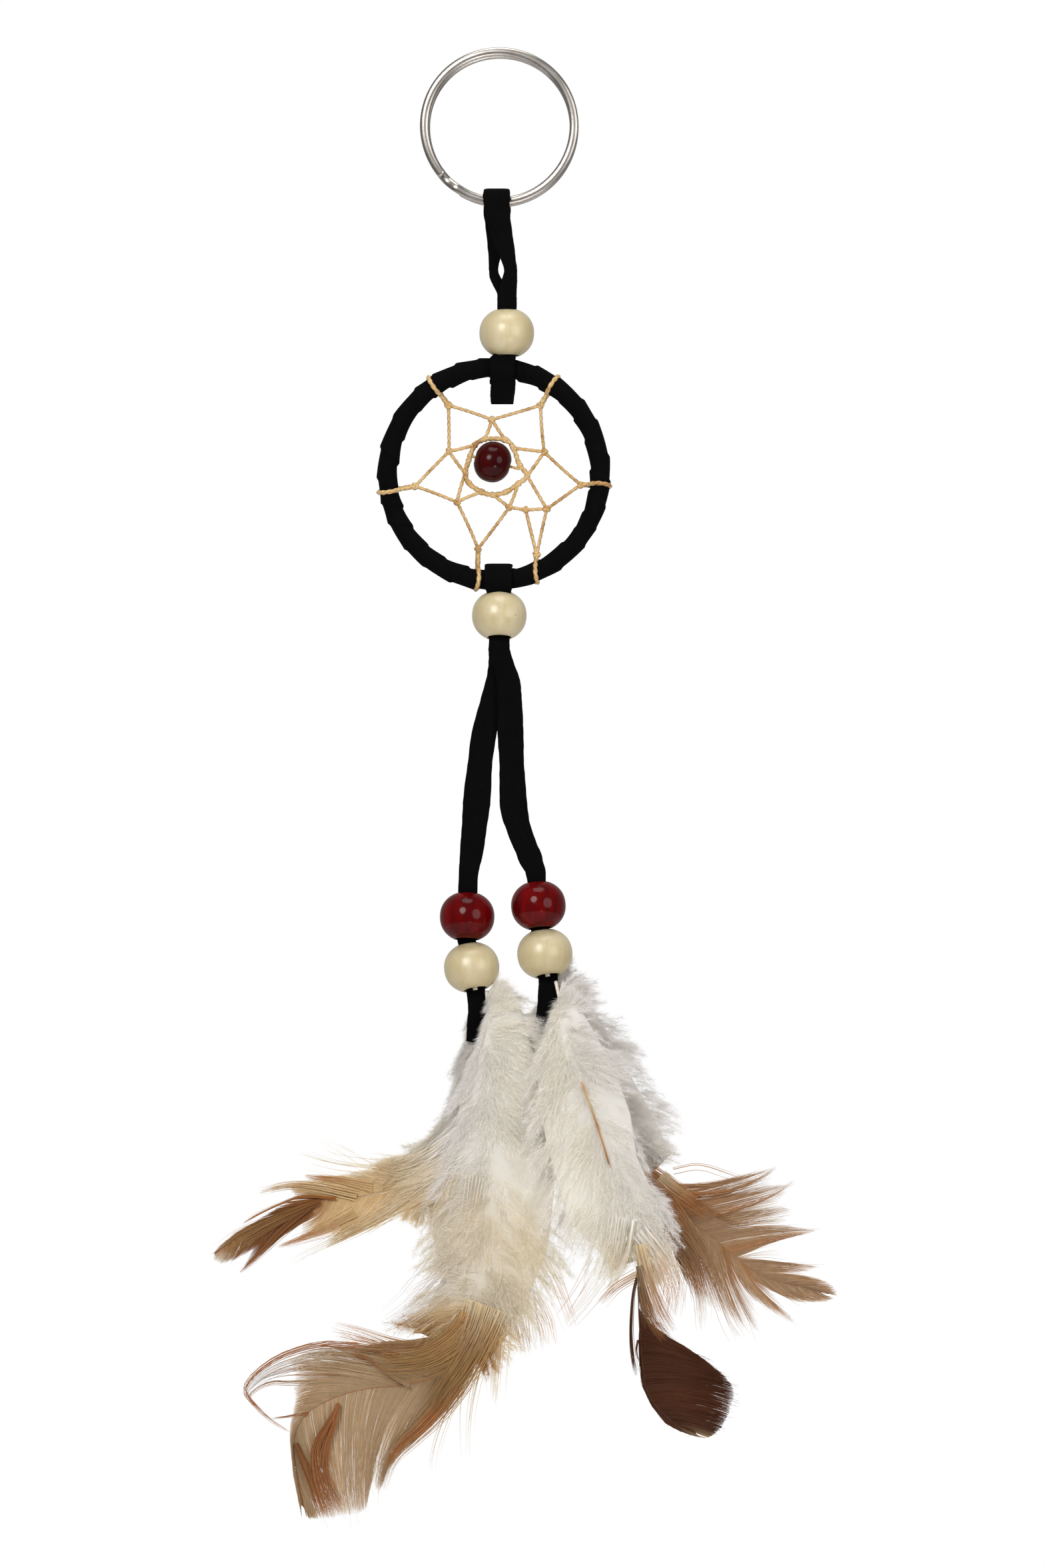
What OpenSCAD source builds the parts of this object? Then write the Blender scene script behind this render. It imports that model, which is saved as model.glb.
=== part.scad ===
// Key-ring dream catcher: split ring, suede laces, wrapped hoop with a knotted web, beads, four feathers.
// Hanging pose, +Z up, origin at the centre of the key ring, the hoop's plane is XZ.

/* [Key ring] */
// Outer diameter of the split ring
ring_d = 30; // [28:0.5:32]
// Width of the ring's wire across the ring
wire_w = 1.7; // [1.4:0.1:1.8]
// Thickness of one of the ring's two coils
coil_t = 1.05; // [0.8:0.05:1.1]

/* [Laces] */
// Thickness of the suede lace
lace_t = 0.9; // [0.8:0.05:0.95]
// Thickness of the two hanging strands
strand_t = 1.1; // [0.9:0.05:1.15]
// Radius that the lace is squeezed to inside a bead
squeeze_r = 1.95; // [1.8:0.05:1.98]

/* [Hoop] */
// Outer diameter of the wrapped hoop
hoop_d = 44; // [43:0.5:44.5]
// Thickness of the hoop with its suede wrap
tube_d = 3.8; // [3.6:0.1:3.9]
// Thickness of the bare hoop under the wrap
core_d = 2; // [1.6:0.1:2.4]

/* [Web] */
// Thickness of the waxed thread
thread_d = 0.6; // [0.4:0.05:0.7]
// Thickness of the thread where it is doubled and twisted
twist_d = 0.9; // [0.7:0.05:1]
// Diameter of the knots
knot_d = 1.1; // [0.9:0.05:1.2]

/* [Beads] */
// Diameter of the wooden beads
bead_d = 10.4; // [10:0.1:10.8]
// Height of the wooden beads along their hole
bead_h = 8.6; // [8.2:0.1:8.7]
// Radius of the hole through the wooden beads
hole_r = 2.15; // [2.1:0.05:2.4]
// Diameter of the bead in the web
web_bead_d = 7.8; // [7:0.1:7.8]
// Height of the bead in the web along its hole
web_bead_h = 6.8; // [6:0.1:6.9]
// Radius of the hole through the bead in the web
web_hole_r = 0.9; // [0.7:0.1:1.2]

/* [Feathers] */
// Thickness of a feather's downy part
down_t = 3.2; // [2:0.1:3.3]
// Thickness of a feather's flat vane
vane_t = 1.2; // [0.6:0.1:2]
// Diameter of a feather's quill
quill_d = 0.9; // [0.6:0.05:0.9]

/* [Hidden] */

$fn = 48;
gap = 0.03;                                  // space left where two pieces of one body meet
cut = 10;                                    // a cutting square that is larger than any lace loop

// Key ring
ring_r = (ring_d - wire_w) / 2;
step_angle = 236;                            // where the wire crosses from one coil to the other
step_turn = 13;                              // how far the crossing runs round the ring, in degrees
coil_slit = 2;                               // what is left open of a coil's turn, in degrees
step_lap = 0.8;                              // how far the crossing runs into each coil, in degrees
step_inset = 0.1;                            // how much slimmer the crossing is than the coils
corner_r = 0.4;                              // rounding of the wire's corners

// Lace loop on the key ring: an arch over the wire, two legs down into the upper bead
arch_in = 1.55;
arch_out = arch_in + lace_t;
arch_x = -0.4;
arch_w = 5;
bead_x = 1.45;
bead_flat = 0.25;                            // width of a bead's flat rim round its hole
upper_bead_z = -39.05;
leg_end_z = -31;
leg_meet = 0.55;                             // a leg's distance from the middle where it enters the bead
leg_lean = atan((arch_in + lace_t / 2 - leg_meet) / (-leg_end_z - ring_r));
pair_gap = 0.1;                              // half the space between two layers of lace in a bead
pair_lap = 0.3;                              // how far the squeezed layers run into the flat lace
front_leg = [[-2.9, -13.9], [2.1, -13.9], [2.8, -22.3], [3.3, -27], [3.35, -32], [-0.4, -32],
    [0.3, -29.5], [0.9, -27.2], [0.1, -24.8], [-2.2, -20]];
back_leg = [[-2.9, -13.9], [2.1, -13.9], [2.6, -18], [0.6, -24], [-0.2, -27], [0.8, -29.5],
    [3.3, -31], [3.3, -32], [-0.4, -32], [-1.5, -28.5], [-1.8, -22.4]];

// Hoop
hoop_x = -1;
hoop_z = -65.7;
hoop_r = (hoop_d - tube_d) / 2;
sling_z = -45.7;                             // axis of the hoop's tube inside the upper sling
sling_in = 2.45;
sling_x = 0.75;
sling_w = 4.7;
tail_z = -85.7;                              // axis of the hoop's tube inside the tail's loop
tail_in = 2.15;
tail_x = -0.15;
tail_w = 4.9;
bead_face = 2.25;                            // from a tube's axis to where its lace enters a bead
turn_lap = 0.2;                              // how far the squeezed layers run into a lace's turn

// Web: places are measured from the hoop's centre, [x, z]
tie_angles = [124, 56.5, 354, 292, 261, 189];
ties = [[-8.6, 13], [8.8, 13], [16.4, -2], [8.1, -15.3], [-3, -14.1], [-14.9, -2.3]];
outer = [[-0.4, 10.3], [9.5, 4.2], [10, -6.6], [2.9, -6.3], [-7, -5.3], [-8.5, 4.3], [6, -6.8]];
loop = [[-1.7, 6.7], [2.1, 6.5], [3.7, 4.9], [4.8, 1.8], [6.3, -0.3], [4.6, -1.8], [2.3, -3.4],
    [-0.3, -3.9], [-2.3, -3.4], [-4.7, -1.8], [-5.4, 0.1], [-4.8, 2.5], [-3.6, 5.5]];
outer_lines = [[0, 0], [0, 5], [1, 0], [1, 1], [2, 1], [2, 2], [3, 2], [3, 6], [4, 3], [4, 4], [5, 4],
    [5, 5]];
inner_lines = [[0, 0], [0, 1], [1, 2], [1, 4], [2, 4], [3, 5], [3, 7], [4, 8], [4, 10], [5, 10], [5, 12]];
loop_trim = 1.5;                              // where a thread stops short of the centre loop
web_bead_at = [-0.25, 2.3];
web_bead_tilt = 15;
web_bead_thread = [-4, 4.4];                 // ends of the thread through the bead, from the bead's middle

// Tail and strands
lower_bead_z = -92.45;
split_z = -97;
pivot_z = -99.2;
pivot_r = 1.95;
left_y = 0.65;
right_y = -0.65;
edge_cut = 0.25;                             // bevel of a strand's edges, as a share of its half width
// Strand routes, [x, z, width]
left_route = [[0, -99.2, 3.9], [-0.2, -102, 4], [-0.7, -105.5, 4.2], [-1.7, -110, 4.4], [-2.9, -115, 4.7],
    [-3.7, -121, 4.9], [-4.3, -128, 5], [-4.8, -133, 4.8], [-5.3, -137.5, 4.4], [-5.85, -141.5, 3.6],
    [-6.05, -148, 3.6], [-6.2, -153.5, 3.6], [-6.05, -154.6, 3.6], [-5.25, -159, 3.6], [-4.4, -163.7, 3.6],
    [-4, -167, 3.9], [-4.1, -170, 3.9], [-4.3, -173.3, 3.9]];
right_route = [[0, -99.2, 3.9], [0.9, -102, 4], [1.7, -105, 4.6], [2, -109, 4.8], [2.1, -114, 4.8],
    [2.3, -119, 4.8], [2.5, -124, 4.8], [2.8, -129, 4.8], [3.8, -133, 4.8], [5.2, -136.6, 4.6],
    [6.3, -139.3, 4.2], [6.95, -141.3, 3.6], [7.4, -147.3, 3.6], [7.75, -151.8, 3.6], [8.1, -153.3, 3.6],
    [8.7, -157, 3.6], [9.25, -161.2, 3.6], [9.2, -164, 3.7], [8.8, -168, 3.7], [8.3, -172.4, 3.7]];
left_red_at = [-6.08, -149.4];
left_red_tilt = -1.6;
left_natural_at = [-5.25, -159];
left_natural_tilt = 10;
right_red_at = [7.4, -147.3];
right_red_tilt = 4.4;
right_natural_at = [8.6, -156.4];
right_natural_tilt = 7.6;

// Feathers
quill_off = 1.1;                             // a quill's distance from the middle of the lace in the hole
quill_len = 4;
// Feather outlines, [x, y, z, width to its left, width to its right, thickness] from quill to tip
left_upper = [[-4.3, 1.75, -164.1, 0.45, 0.45, quill_d], [-4.6, 2.6, -167.5, 1, 1, 1.4],
    [-5, 3.6, -172, 3.4, 2.2, down_t], [-5.6, 3.6, -179, 6, 2.8, down_t], [-7.5, 3.6, -187, 9, 3, down_t],
    [-12, 3.6, -195, 10, 4, down_t], [-19, 3.6, -200.6, 9, 5, down_t - 0.8],
    [-27, 3.6, -202.8, 8, 5.5, vane_t], [-36, 3.6, -204, 8, 5.5, vane_t],
    [-45, 3.6, -208, 6.5, 5, vane_t], [-52, 3.6, -212.4, 4, 2.5, vane_t], [-54.5, 3.6, -214, 0.5, 0.5, 0.5]];
left_lower = [[-4.3, -0.45, -164.1, 0.45, 0.45, quill_d], [-4, -1, -167.5, 1, 1, 1.2],
    [-3, -1.9, -173, 4, 4.4, down_t - 0.6], [-2, -1.9, -182, 8, 7, down_t - 0.6],
    [-1.4, -1.9, -193, 12, 11.5, down_t - 0.6], [-1.6, -1.9, -205, 14, 13, down_t - 0.6],
    [-2.8, -1.9, -218, 13, 13, down_t - 0.6], [-7.2, -1.9, -230, 13, 13, vane_t],
    [-16, -1.9, -237.8, 15, 11, vane_t], [-26, -1.9, -239.5, 17, 12, vane_t],
    [-34.5, -1.9, -243, 12, 8, vane_t], [-38.4, -1.9, -249, 9.5, 2, vane_t],
    [-37.6, -1.9, -256, 7, 1, vane_t], [-36.8, -1.9, -262.8, 3, 0.4, 0.5]];
right_upper = [[9.25, 0.45, -161.7, 0.45, 0.45, quill_d], [10, 2, -165, 1.4, 1.2, 1.2],
    [11.6, 6, -170.5, 5, 3.6, down_t - 0.6], [14, 7.4, -177, 9, 6, down_t], [18, 7.4, -185, 11, 9, down_t],
    [24, 7.4, -195, 10, 12, down_t], [31, 7.4, -203.5, 9, 13, down_t - 0.8],
    [38, 7.4, -208.6, 10, 14, vane_t], [46, 7.4, -214, 13, 13, vane_t],
    [54, 7.4, -218.4, 12, 9, vane_t], [60, 7.4, -220.6, 5, 4, vane_t], [63, 7.4, -221.8, 0.5, 0.5, 0.5]];
right_lower = [[9.25, -1.75, -161.7, 0.45, 0.45, quill_d], [9.9, -3, -165, 1.2, 1.2, 1.2],
    [11.4, -5.6, -170, 3, 2, down_t - 0.6], [13.8, -5.6, -176, 6, 4, down_t], [17, -5.6, -185, 8, 7, down_t],
    [21.3, -5.6, -197.6, 9, 10, down_t], [25, -5.6, -210, 10, 12, down_t], [26.3, -5.6, -220, 5, 5, vane_t],
    [26.8, -5.6, -230, 5, 2.5, vane_t], [28.2, -5.6, -236, 10.5, 2, vane_t],
    [30.8, -5.6, -241, 13, 2, vane_t], [35.2, -5.6, -244.6, 10, 1.5, vane_t],
    [39, -5.6, -246.2, 5.5, 1, vane_t], [42, -5.6, -246.6, 2, 0.4, 0.5]];

// Small helpers
module across_x(width) {
    rotate([90, 0, 90]) linear_extrude(width, center = true) children();
}

module flat_plate(outline, y, t) {
    translate([0, y + t / 2, 0]) rotate([90, 0, 0]) linear_extrude(t) polygon(outline);
}

// A round rod in the plane y = 0 from a to b, both [x, z], cut short at its two ends
module rod(a, b, d, trim_a = knot_d / 2 + gap, trim_b = knot_d / 2 + gap) {
    run = norm(b - a);
    angle = atan2(b[0] - a[0], b[1] - a[1]);
    translate([a[0], 0, a[1]]) rotate([0, angle, 0]) translate([0, 0, trim_a])
        cylinder(d = d, h = run - trim_a - trim_b, $fn = 16);
}

module knot(at, d) {
    translate([at[0], 0, at[1]]) sphere(d = d, $fn = 24);
}

module on_hoop() {
    translate([hoop_x, 0, hoop_z]) children();
}

// A bead: a round-shouldered barrel with flat ends, turned about its hole
module bead(d, h, r) {
    reach = r + bead_flat - d / 2;
    shoulder = -(reach * reach + h * h / 4) / (2 * reach);
    rotate_extrude() difference() {
        intersection() {
            translate([d / 2 - shoulder, 0]) circle(shoulder);
            translate([0, -h / 2]) square([d, h]);
        }
        translate([-d, -h]) square([d + r, 2 * h]);
    }
}

module bead_at(at, y, tilt, d, h, r) {
    translate([at[0], y, at[1]]) rotate([0, -tilt, 0]) bead(d, h, r);
}

// The two squeezed layers of lace inside a bead's hole
module squeezed_pair(x, top, bottom) {
    intersection() {
        translate([x, 0, bottom]) cylinder(r = squeeze_r, h = top - bottom);
        union() {
            for (y = [pair_gap, -pair_gap - lace_t])
                translate([x - cut / 2, y, bottom]) cube([cut, lace_t, top - bottom]);
        }
    }
}

// A lace's turn round the hoop's tube, open on the side where its ends go into a bead
module turn_round_tube(x, z, inner, width, side) {
    translate([x, 0, z]) across_x(width) difference() {
        circle(inner + lace_t);
        circle(inner);
        translate([-cut / 2, side > 0 ? bead_face : -bead_face - cut]) square(cut);
    }
}

// Strand: eight-sided tube along the route, flat like the lace
function unit(v) = v / norm(v);
function heading(p, i) = unit([for (k = [0, 1]) p[min(i + 1, len(p) - 1)][k] - p[max(i - 1, 0)][k]]);
function strand_ring(at, dir, half, t) =
    let (side = [-dir[1], dir[0]], c = edge_cut,
        shape = [[1, -1 + 2 * c], [1, 1 - 2 * c], [1 - c, 1], [-1 + c, 1], [-1, 1 - 2 * c], [-1, -1 + 2 * c],
            [-1 + c, -1], [1 - c, -1]])
    [for (s = shape) [at[0] + side[0] * s[0] * half, s[1] * t / 2, at[1] + side[1] * s[0] * half]];
function ring_faces(rings, sides) = concat(
    [[for (k = [0 : sides - 1]) k]],
    [[for (k = [sides - 1 : -1 : 0]) (rings - 1) * sides + k]],
    [for (i = [0 : rings - 2]) for (k = [0 : sides - 1])
        [i * sides + k, (i + 1) * sides + k, (i + 1) * sides + (k + 1) % sides]],
    [for (i = [0 : rings - 2]) for (k = [0 : sides - 1])
        [i * sides + k, (i + 1) * sides + (k + 1) % sides, i * sides + (k + 1) % sides]]);

module strand(route, y) {
    rounded_end = [for (a = [10 : 20 : 70]) [0, pivot_z + pivot_r * cos(a), 2 * pivot_r * sin(a)]];
    stops = concat(rounded_end, route);
    rings = [for (i = [0 : len(stops) - 1])
        strand_ring(stops[i], heading(stops, i), stops[i][2] / 2, strand_t)];
    translate([0, y, 0]) polyhedron([for (r = rings) each r], ring_faces(len(stops), 8));
}

// Feather: a lens-shaped section carried along the shaft
function feather_ring(s, dir) =
    let (left = [-dir[1], dir[0]], across = [s[3], s[3] / 2, -s[4] / 2, -s[4], -s[4] / 2, s[3] / 2],
        deep = [0, 1, 1, 0, -1, -1])
    [for (k = [0 : 5])
        [s[0] + left[0] * across[k], s[1] + deep[k] * s[5] / 2, s[2] + left[1] * across[k]]];
function feather_heading(p, i) =
    let (a = p[max(i - 1, 0)], b = p[min(i + 1, len(p) - 1)]) unit([b[0] - a[0], b[2] - a[2]]);

module feather(stations) {
    rings = [for (i = [0 : len(stations) - 1]) feather_ring(stations[i], feather_heading(stations, i))];
    polyhedron([for (r = rings) each r], ring_faces(len(stations), 6));
}

module quill_ends(at, y, tilt) {
    for (side = [-1, 1])
        translate([at[0], y, at[1]]) rotate([0, -tilt, 0])
            translate([0, side * quill_off, -bead_h / 2]) cylinder(d = quill_d, h = quill_len);
}

// Sub-parts
module split_ring() {
    core_w = wire_w - 2 * corner_r;
    core_t = coil_t - 2 * corner_r;
    turn = 360 - coil_slit - step_turn;
    color("silver") rotate([90, 0, 0]) {
        rotate([0, 0, step_angle + coil_slit]) rotate_extrude(angle = turn)
            coil_section(-coil_t / 2 - gap, core_w, core_t);
        rotate([0, 0, step_angle]) rotate_extrude(angle = turn)
            coil_section(coil_t / 2 + gap, core_w, core_t);
        rotate([0, 0, step_angle - step_turn - step_lap]) rotate_extrude(angle = step_turn + 2 * step_lap)
            coil_section(0, core_w - step_inset, core_t + coil_t + 2 * gap - step_inset);
    }
}

module coil_section(y, core_w, core_t) {
    translate([ring_r, y]) {
        square([core_w, core_t + 2 * corner_r], center = true);
        square([core_w + 2 * corner_r, core_t], center = true);
        for (sx = [-1, 1])
            for (sy = [-1, 1])
                translate([sx * core_w / 2, sy * core_t / 2]) circle(corner_r);
    }
}

module hanger_lace() {
    color("black") {
        translate([arch_x, 0, -ring_r]) across_x(arch_w) difference() {
            circle(arch_out);
            circle(arch_in);
            translate([-cut / 2, -cut]) square(cut);
        }
        translate([0, -arch_in - lace_t / 2, -ring_r]) rotate([leg_lean, 0, 0])
            translate([0, 0, ring_r]) flat_plate(front_leg, 0, lace_t);
        translate([0, arch_in + lace_t / 2, -ring_r]) rotate([-leg_lean, 0, 0])
            translate([0, 0, ring_r]) flat_plate(back_leg, 0, lace_t);
        squeezed_pair(bead_x, leg_end_z + pair_lap, upper_bead_z + pair_lap / 2);
    }
}

module upper_bead() {
    color("wheat") bead_at([bead_x, upper_bead_z], 0, 0, bead_d, bead_h, hole_r);
}

module sling_lace() {
    tab = [[-1.6, -48.4], [3.1, -48.4], [2.8, -52.7], [-1.6, -52.3]];
    color("black") {
        squeezed_pair(bead_x, upper_bead_z - pair_lap / 2, sling_z + bead_face - turn_lap);
        turn_round_tube(sling_x, sling_z, sling_in, sling_w, 1);
        flat_plate(tab, 0, 2 * lace_t);
    }
}

module hoop_core() {
    color("tan") on_hoop() rotate([90, 0, 0]) rotate_extrude($fn = 96) translate([hoop_r, 0])
        circle(d = core_d);
}

module hoop_wrap() {
    color("black") on_hoop() rotate([90, 0, 0]) rotate_extrude($fn = 96) translate([hoop_r, 0])
        difference() {
            circle(d = tube_d);
            circle(d = core_d + 2 * gap);
        }
}

module web_anchor_ties() {
    color("goldenrod") on_hoop() for (i = [0 : len(ties) - 1]) {
        a = tie_angles[i];
        rotate([0, -a, 0]) translate([hoop_r, 0, 0])
            rotate_extrude($fn = 24) translate([tube_d / 2 + twist_d / 2 + gap, 0])
                circle(d = twist_d, $fn = 16);
        reach = hoop_r - tube_d / 2 - twist_d - 2 * gap;
        rod([reach * cos(a), reach * sin(a)], ties[i], twist_d, gap, knot_d / 2 + gap);
    }
}

module web_outer_threads() {
    color("goldenrod") on_hoop() {
        for (l = outer_lines)
            rod(ties[l[0]], outer[l[1]], thread_d);
        rod(ties[3], outer[6], thread_d);
        rod(outer[3], outer[6], thread_d);
        rod(outer[6], outer[2], thread_d);
    }
}

module web_inner_threads() {
    color("goldenrod") on_hoop() for (l = inner_lines)
        rod(outer[l[0]], loop[l[1]], thread_d, knot_d / 2 + gap, loop_trim);
}

module web_centre_loop() {
    tilt = [cos(web_bead_tilt), -sin(web_bead_tilt)];
    color("goldenrod") on_hoop() {
        for (i = [0 : len(loop) - 1])
            rod(loop[i], loop[(i + 1) % len(loop)], twist_d);
        rod(web_bead_at + tilt * web_bead_thread[0], web_bead_at + tilt * web_bead_thread[1], thread_d, 0, 0);
    }
}

module web_knots() {
    color("goldenrod") on_hoop() for (p = concat(ties, outer, loop))
        knot(p, knot_d);
}

module web_bead() {
    color("maroon") on_hoop()
        bead_at(web_bead_at, 0, -90 - web_bead_tilt, web_bead_d, web_bead_h, web_hole_r);
}

module tail_lace() {
    color("black") {
        turn_round_tube(tail_x, tail_z, tail_in, tail_w, -1);
        squeezed_pair(0, tail_z - bead_face + turn_lap, split_z);
    }
}

module lower_bead() {
    color("wheat") bead_at([0, lower_bead_z], 0, 0, bead_d, bead_h, hole_r);
}

module left_lace() {
    color("black") strand(left_route, left_y);
}

module left_red_bead() {
    color("firebrick") bead_at(left_red_at, left_y, left_red_tilt, bead_d, bead_h, hole_r);
}

module left_natural_bead() {
    color("wheat") bead_at(left_natural_at, left_y, left_natural_tilt, bead_d, bead_h, hole_r);
}

module left_quill_ends() {
    color("peru") quill_ends(left_natural_at, left_y, left_natural_tilt);
}

module left_upper_feather() {
    color("tan") feather(left_upper);
}

module left_lower_feather() {
    color("rosybrown") feather(left_lower);
}

module right_lace() {
    color("black") strand(right_route, right_y);
}

module right_red_bead() {
    color("firebrick") bead_at(right_red_at, right_y, right_red_tilt, bead_d, bead_h, hole_r);
}

module right_natural_bead() {
    color("wheat") bead_at(right_natural_at, right_y, right_natural_tilt, bead_d, bead_h, hole_r);
}

module right_quill_ends() {
    color("peru") quill_ends(right_natural_at, right_y, right_natural_tilt);
}

module right_upper_feather() {
    color("sienna") feather(right_upper);
}

module right_lower_feather() {
    color("saddlebrown") feather(right_lower);
}

split_ring();
hanger_lace();
upper_bead();
sling_lace();
hoop_core();
hoop_wrap();
web_anchor_ties();
web_outer_threads();
web_inner_threads();
web_centre_loop();
web_knots();
web_bead();
tail_lace();
lower_bead();
left_lace();
left_red_bead();
left_natural_bead();
left_quill_ends();
left_upper_feather();
left_lower_feather();
right_lace();
right_red_bead();
right_natural_bead();
right_quill_ends();
right_upper_feather();
right_lower_feather();
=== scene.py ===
"""Looks of the key-ring dream catcher: laces, beads, wrapped hoop, knotted web and four feathers.

Points of pieces are in mm, and mesh_object turns them to metres.
"""

import math

import bpy
import numpy as np
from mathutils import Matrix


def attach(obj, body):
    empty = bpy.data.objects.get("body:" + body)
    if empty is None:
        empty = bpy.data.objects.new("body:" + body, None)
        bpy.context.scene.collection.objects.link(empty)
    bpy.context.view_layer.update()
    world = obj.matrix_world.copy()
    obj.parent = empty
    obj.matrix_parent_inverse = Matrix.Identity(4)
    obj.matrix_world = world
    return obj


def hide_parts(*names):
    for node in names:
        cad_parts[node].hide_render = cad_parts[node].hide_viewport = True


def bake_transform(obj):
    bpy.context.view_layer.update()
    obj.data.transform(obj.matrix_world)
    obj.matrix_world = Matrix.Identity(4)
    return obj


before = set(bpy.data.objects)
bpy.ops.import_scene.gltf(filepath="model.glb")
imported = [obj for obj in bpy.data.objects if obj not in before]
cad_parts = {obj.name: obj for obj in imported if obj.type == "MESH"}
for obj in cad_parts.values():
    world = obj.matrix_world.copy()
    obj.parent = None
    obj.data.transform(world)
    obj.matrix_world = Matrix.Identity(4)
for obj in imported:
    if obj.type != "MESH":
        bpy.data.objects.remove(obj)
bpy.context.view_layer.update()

MM = 0.001

# ---------------------------------------------------------------- camera
VIEW_CENTRE = (0.0044, -0.1243)   # x and z that the camera looks at
VIEW_HEIGHT = 0.2965
VIEW_SHAPE = 2 / 3   # width over height
CAMERA_AWAY = 1.5
SENSOR = 24   # height of the sensor, mm


def make_camera():
    """A long lens straight in front, level with the object's middle."""
    data = bpy.data.cameras.new("camera")
    data.sensor_fit = "VERTICAL"
    data.sensor_height = SENSOR
    data.sensor_width = SENSOR * VIEW_SHAPE
    data.lens = SENSOR * CAMERA_AWAY / VIEW_HEIGHT
    data.clip_start = 0.05
    data.clip_end = 20
    camera = bpy.data.objects.new("camera", data)
    camera.location = (VIEW_CENTRE[0], -CAMERA_AWAY, VIEW_CENTRE[1])
    camera.rotation_euler = (math.radians(90), 0, 0)
    bpy.context.scene.collection.objects.link(camera)
    bpy.context.scene.camera = camera


make_camera()


# ---------------------------------------------------------------- node helpers
class Shader:
    """A node material: short calls that add one node and link it."""

    def __init__(self, name):
        self.material = bpy.data.materials.new(name)
        self.material.use_nodes = True
        self.tree = self.material.node_tree
        self.principled = self.tree.nodes["Principled BSDF"]
        self.output = self.tree.nodes["Material Output"]
        self.coords = self.tree.nodes.new("ShaderNodeTexCoord").outputs["Object"]

    def set(self, **values):
        """Constant sockets of the shader; an underscore stands for a space."""
        for name, value in values.items():
            self.principled.inputs[name.replace("_", " ")].default_value = value

    def link(self, source, target):
        self.tree.links.new(source, target)

    def stretch(self, scale):
        """The object's own coordinates, scaled along each axis."""
        node = self.tree.nodes.new("ShaderNodeMapping")
        node.inputs["Scale"].default_value = scale
        self.link(self.coords, node.inputs["Vector"])
        return node.outputs["Vector"]

    def noise(self, scale, detail=3, roughness=0.55, vector=None, distortion=0):
        node = self.tree.nodes.new("ShaderNodeTexNoise")
        node.inputs["Scale"].default_value = scale
        node.inputs["Detail"].default_value = detail
        node.inputs["Roughness"].default_value = roughness
        node.inputs["Distortion"].default_value = distortion
        self.link(vector or self.coords, node.inputs["Vector"])
        return node.outputs["Fac"]

    def cells(self, scale, vector=None):
        node = self.tree.nodes.new("ShaderNodeTexVoronoi")
        node.inputs["Scale"].default_value = scale
        self.link(vector or self.coords, node.inputs["Vector"])
        return node.outputs["Distance"]

    def ramp(self, fac, *stops):
        """Stops are (place, colour) or (place, grey value)."""
        node = self.tree.nodes.new("ShaderNodeValToRGB")
        elements = node.color_ramp.elements
        while len(elements) < len(stops):
            elements.new(0.5)
        for element, (place, value) in zip(elements, stops):
            element.position = place
            element.color = (*value, 1) if hasattr(value, "__len__") else (value, value, value, 1)
        self.link(fac, node.inputs["Fac"])
        return node.outputs["Color"]

    def mix(self, fac, a, b, mode="MIX"):
        node = self.tree.nodes.new("ShaderNodeMix")
        node.data_type = "RGBA"
        node.blend_type = mode
        for socket, value in zip((node.inputs[0], node.inputs[6], node.inputs[7]), (fac, a, b)):
            if isinstance(value, bpy.types.NodeSocket):
                self.link(value, socket)
            elif isinstance(value, (int, float)):
                socket.default_value = value
            else:
                socket.default_value = (*value, 1)
        return node.outputs[2]

    def attribute(self, name):
        """Colour that the mesh carries at its points."""
        node = self.tree.nodes.new("ShaderNodeAttribute")
        node.attribute_name = name
        return node.outputs["Color"]

    def bump(self, height, strength, distance):
        node = self.tree.nodes.new("ShaderNodeBump")
        node.inputs["Strength"].default_value = strength
        node.inputs["Distance"].default_value = distance
        self.link(height, node.inputs["Height"])
        self.link(node.outputs["Normal"], self.principled.inputs["Normal"])

    def colour(self, source):
        self.link(source, self.principled.inputs["Base Color"])

    def roughness(self, source):
        self.link(source, self.principled.inputs["Roughness"])

    def see_through(self, share, source):
        """Lets part of the light pass, as thin barbs do."""
        translucent = self.tree.nodes.new("ShaderNodeBsdfTranslucent")
        self.link(source, translucent.inputs["Color"])
        mix = self.tree.nodes.new("ShaderNodeMixShader")
        mix.inputs["Fac"].default_value = share
        self.link(self.principled.outputs["BSDF"], mix.inputs[1])
        self.link(translucent.outputs["BSDF"], mix.inputs[2])
        self.link(mix.outputs["Shader"], self.output.inputs["Surface"])


# ---------------------------------------------------------------- materials
def nickel():
    """Bright plated steel of the key ring."""
    s = Shader("bright_nickel")
    s.set(Metallic=1)
    s.colour(s.ramp(s.noise(260, 3), (0.3, (0.37, 0.33, 0.295)), (0.7, (0.48, 0.45, 0.415))))
    s.roughness(s.ramp(s.noise(90, 2), (0.35, 0.3), (0.75, 0.37)))
    return s.material


def wire_steel():
    """Duller bare steel of the hoop's hidden wire."""
    s = Shader("hoop_steel")
    s.set(Metallic=1)
    s.colour(s.ramp(s.noise(800), (0.3, (0.3, 0.29, 0.28)), (0.7, (0.5, 0.5, 0.5))))
    s.roughness(s.ramp(s.noise(1600), (0.3, 0.35), (0.8, 0.6)))
    return s.material


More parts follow.
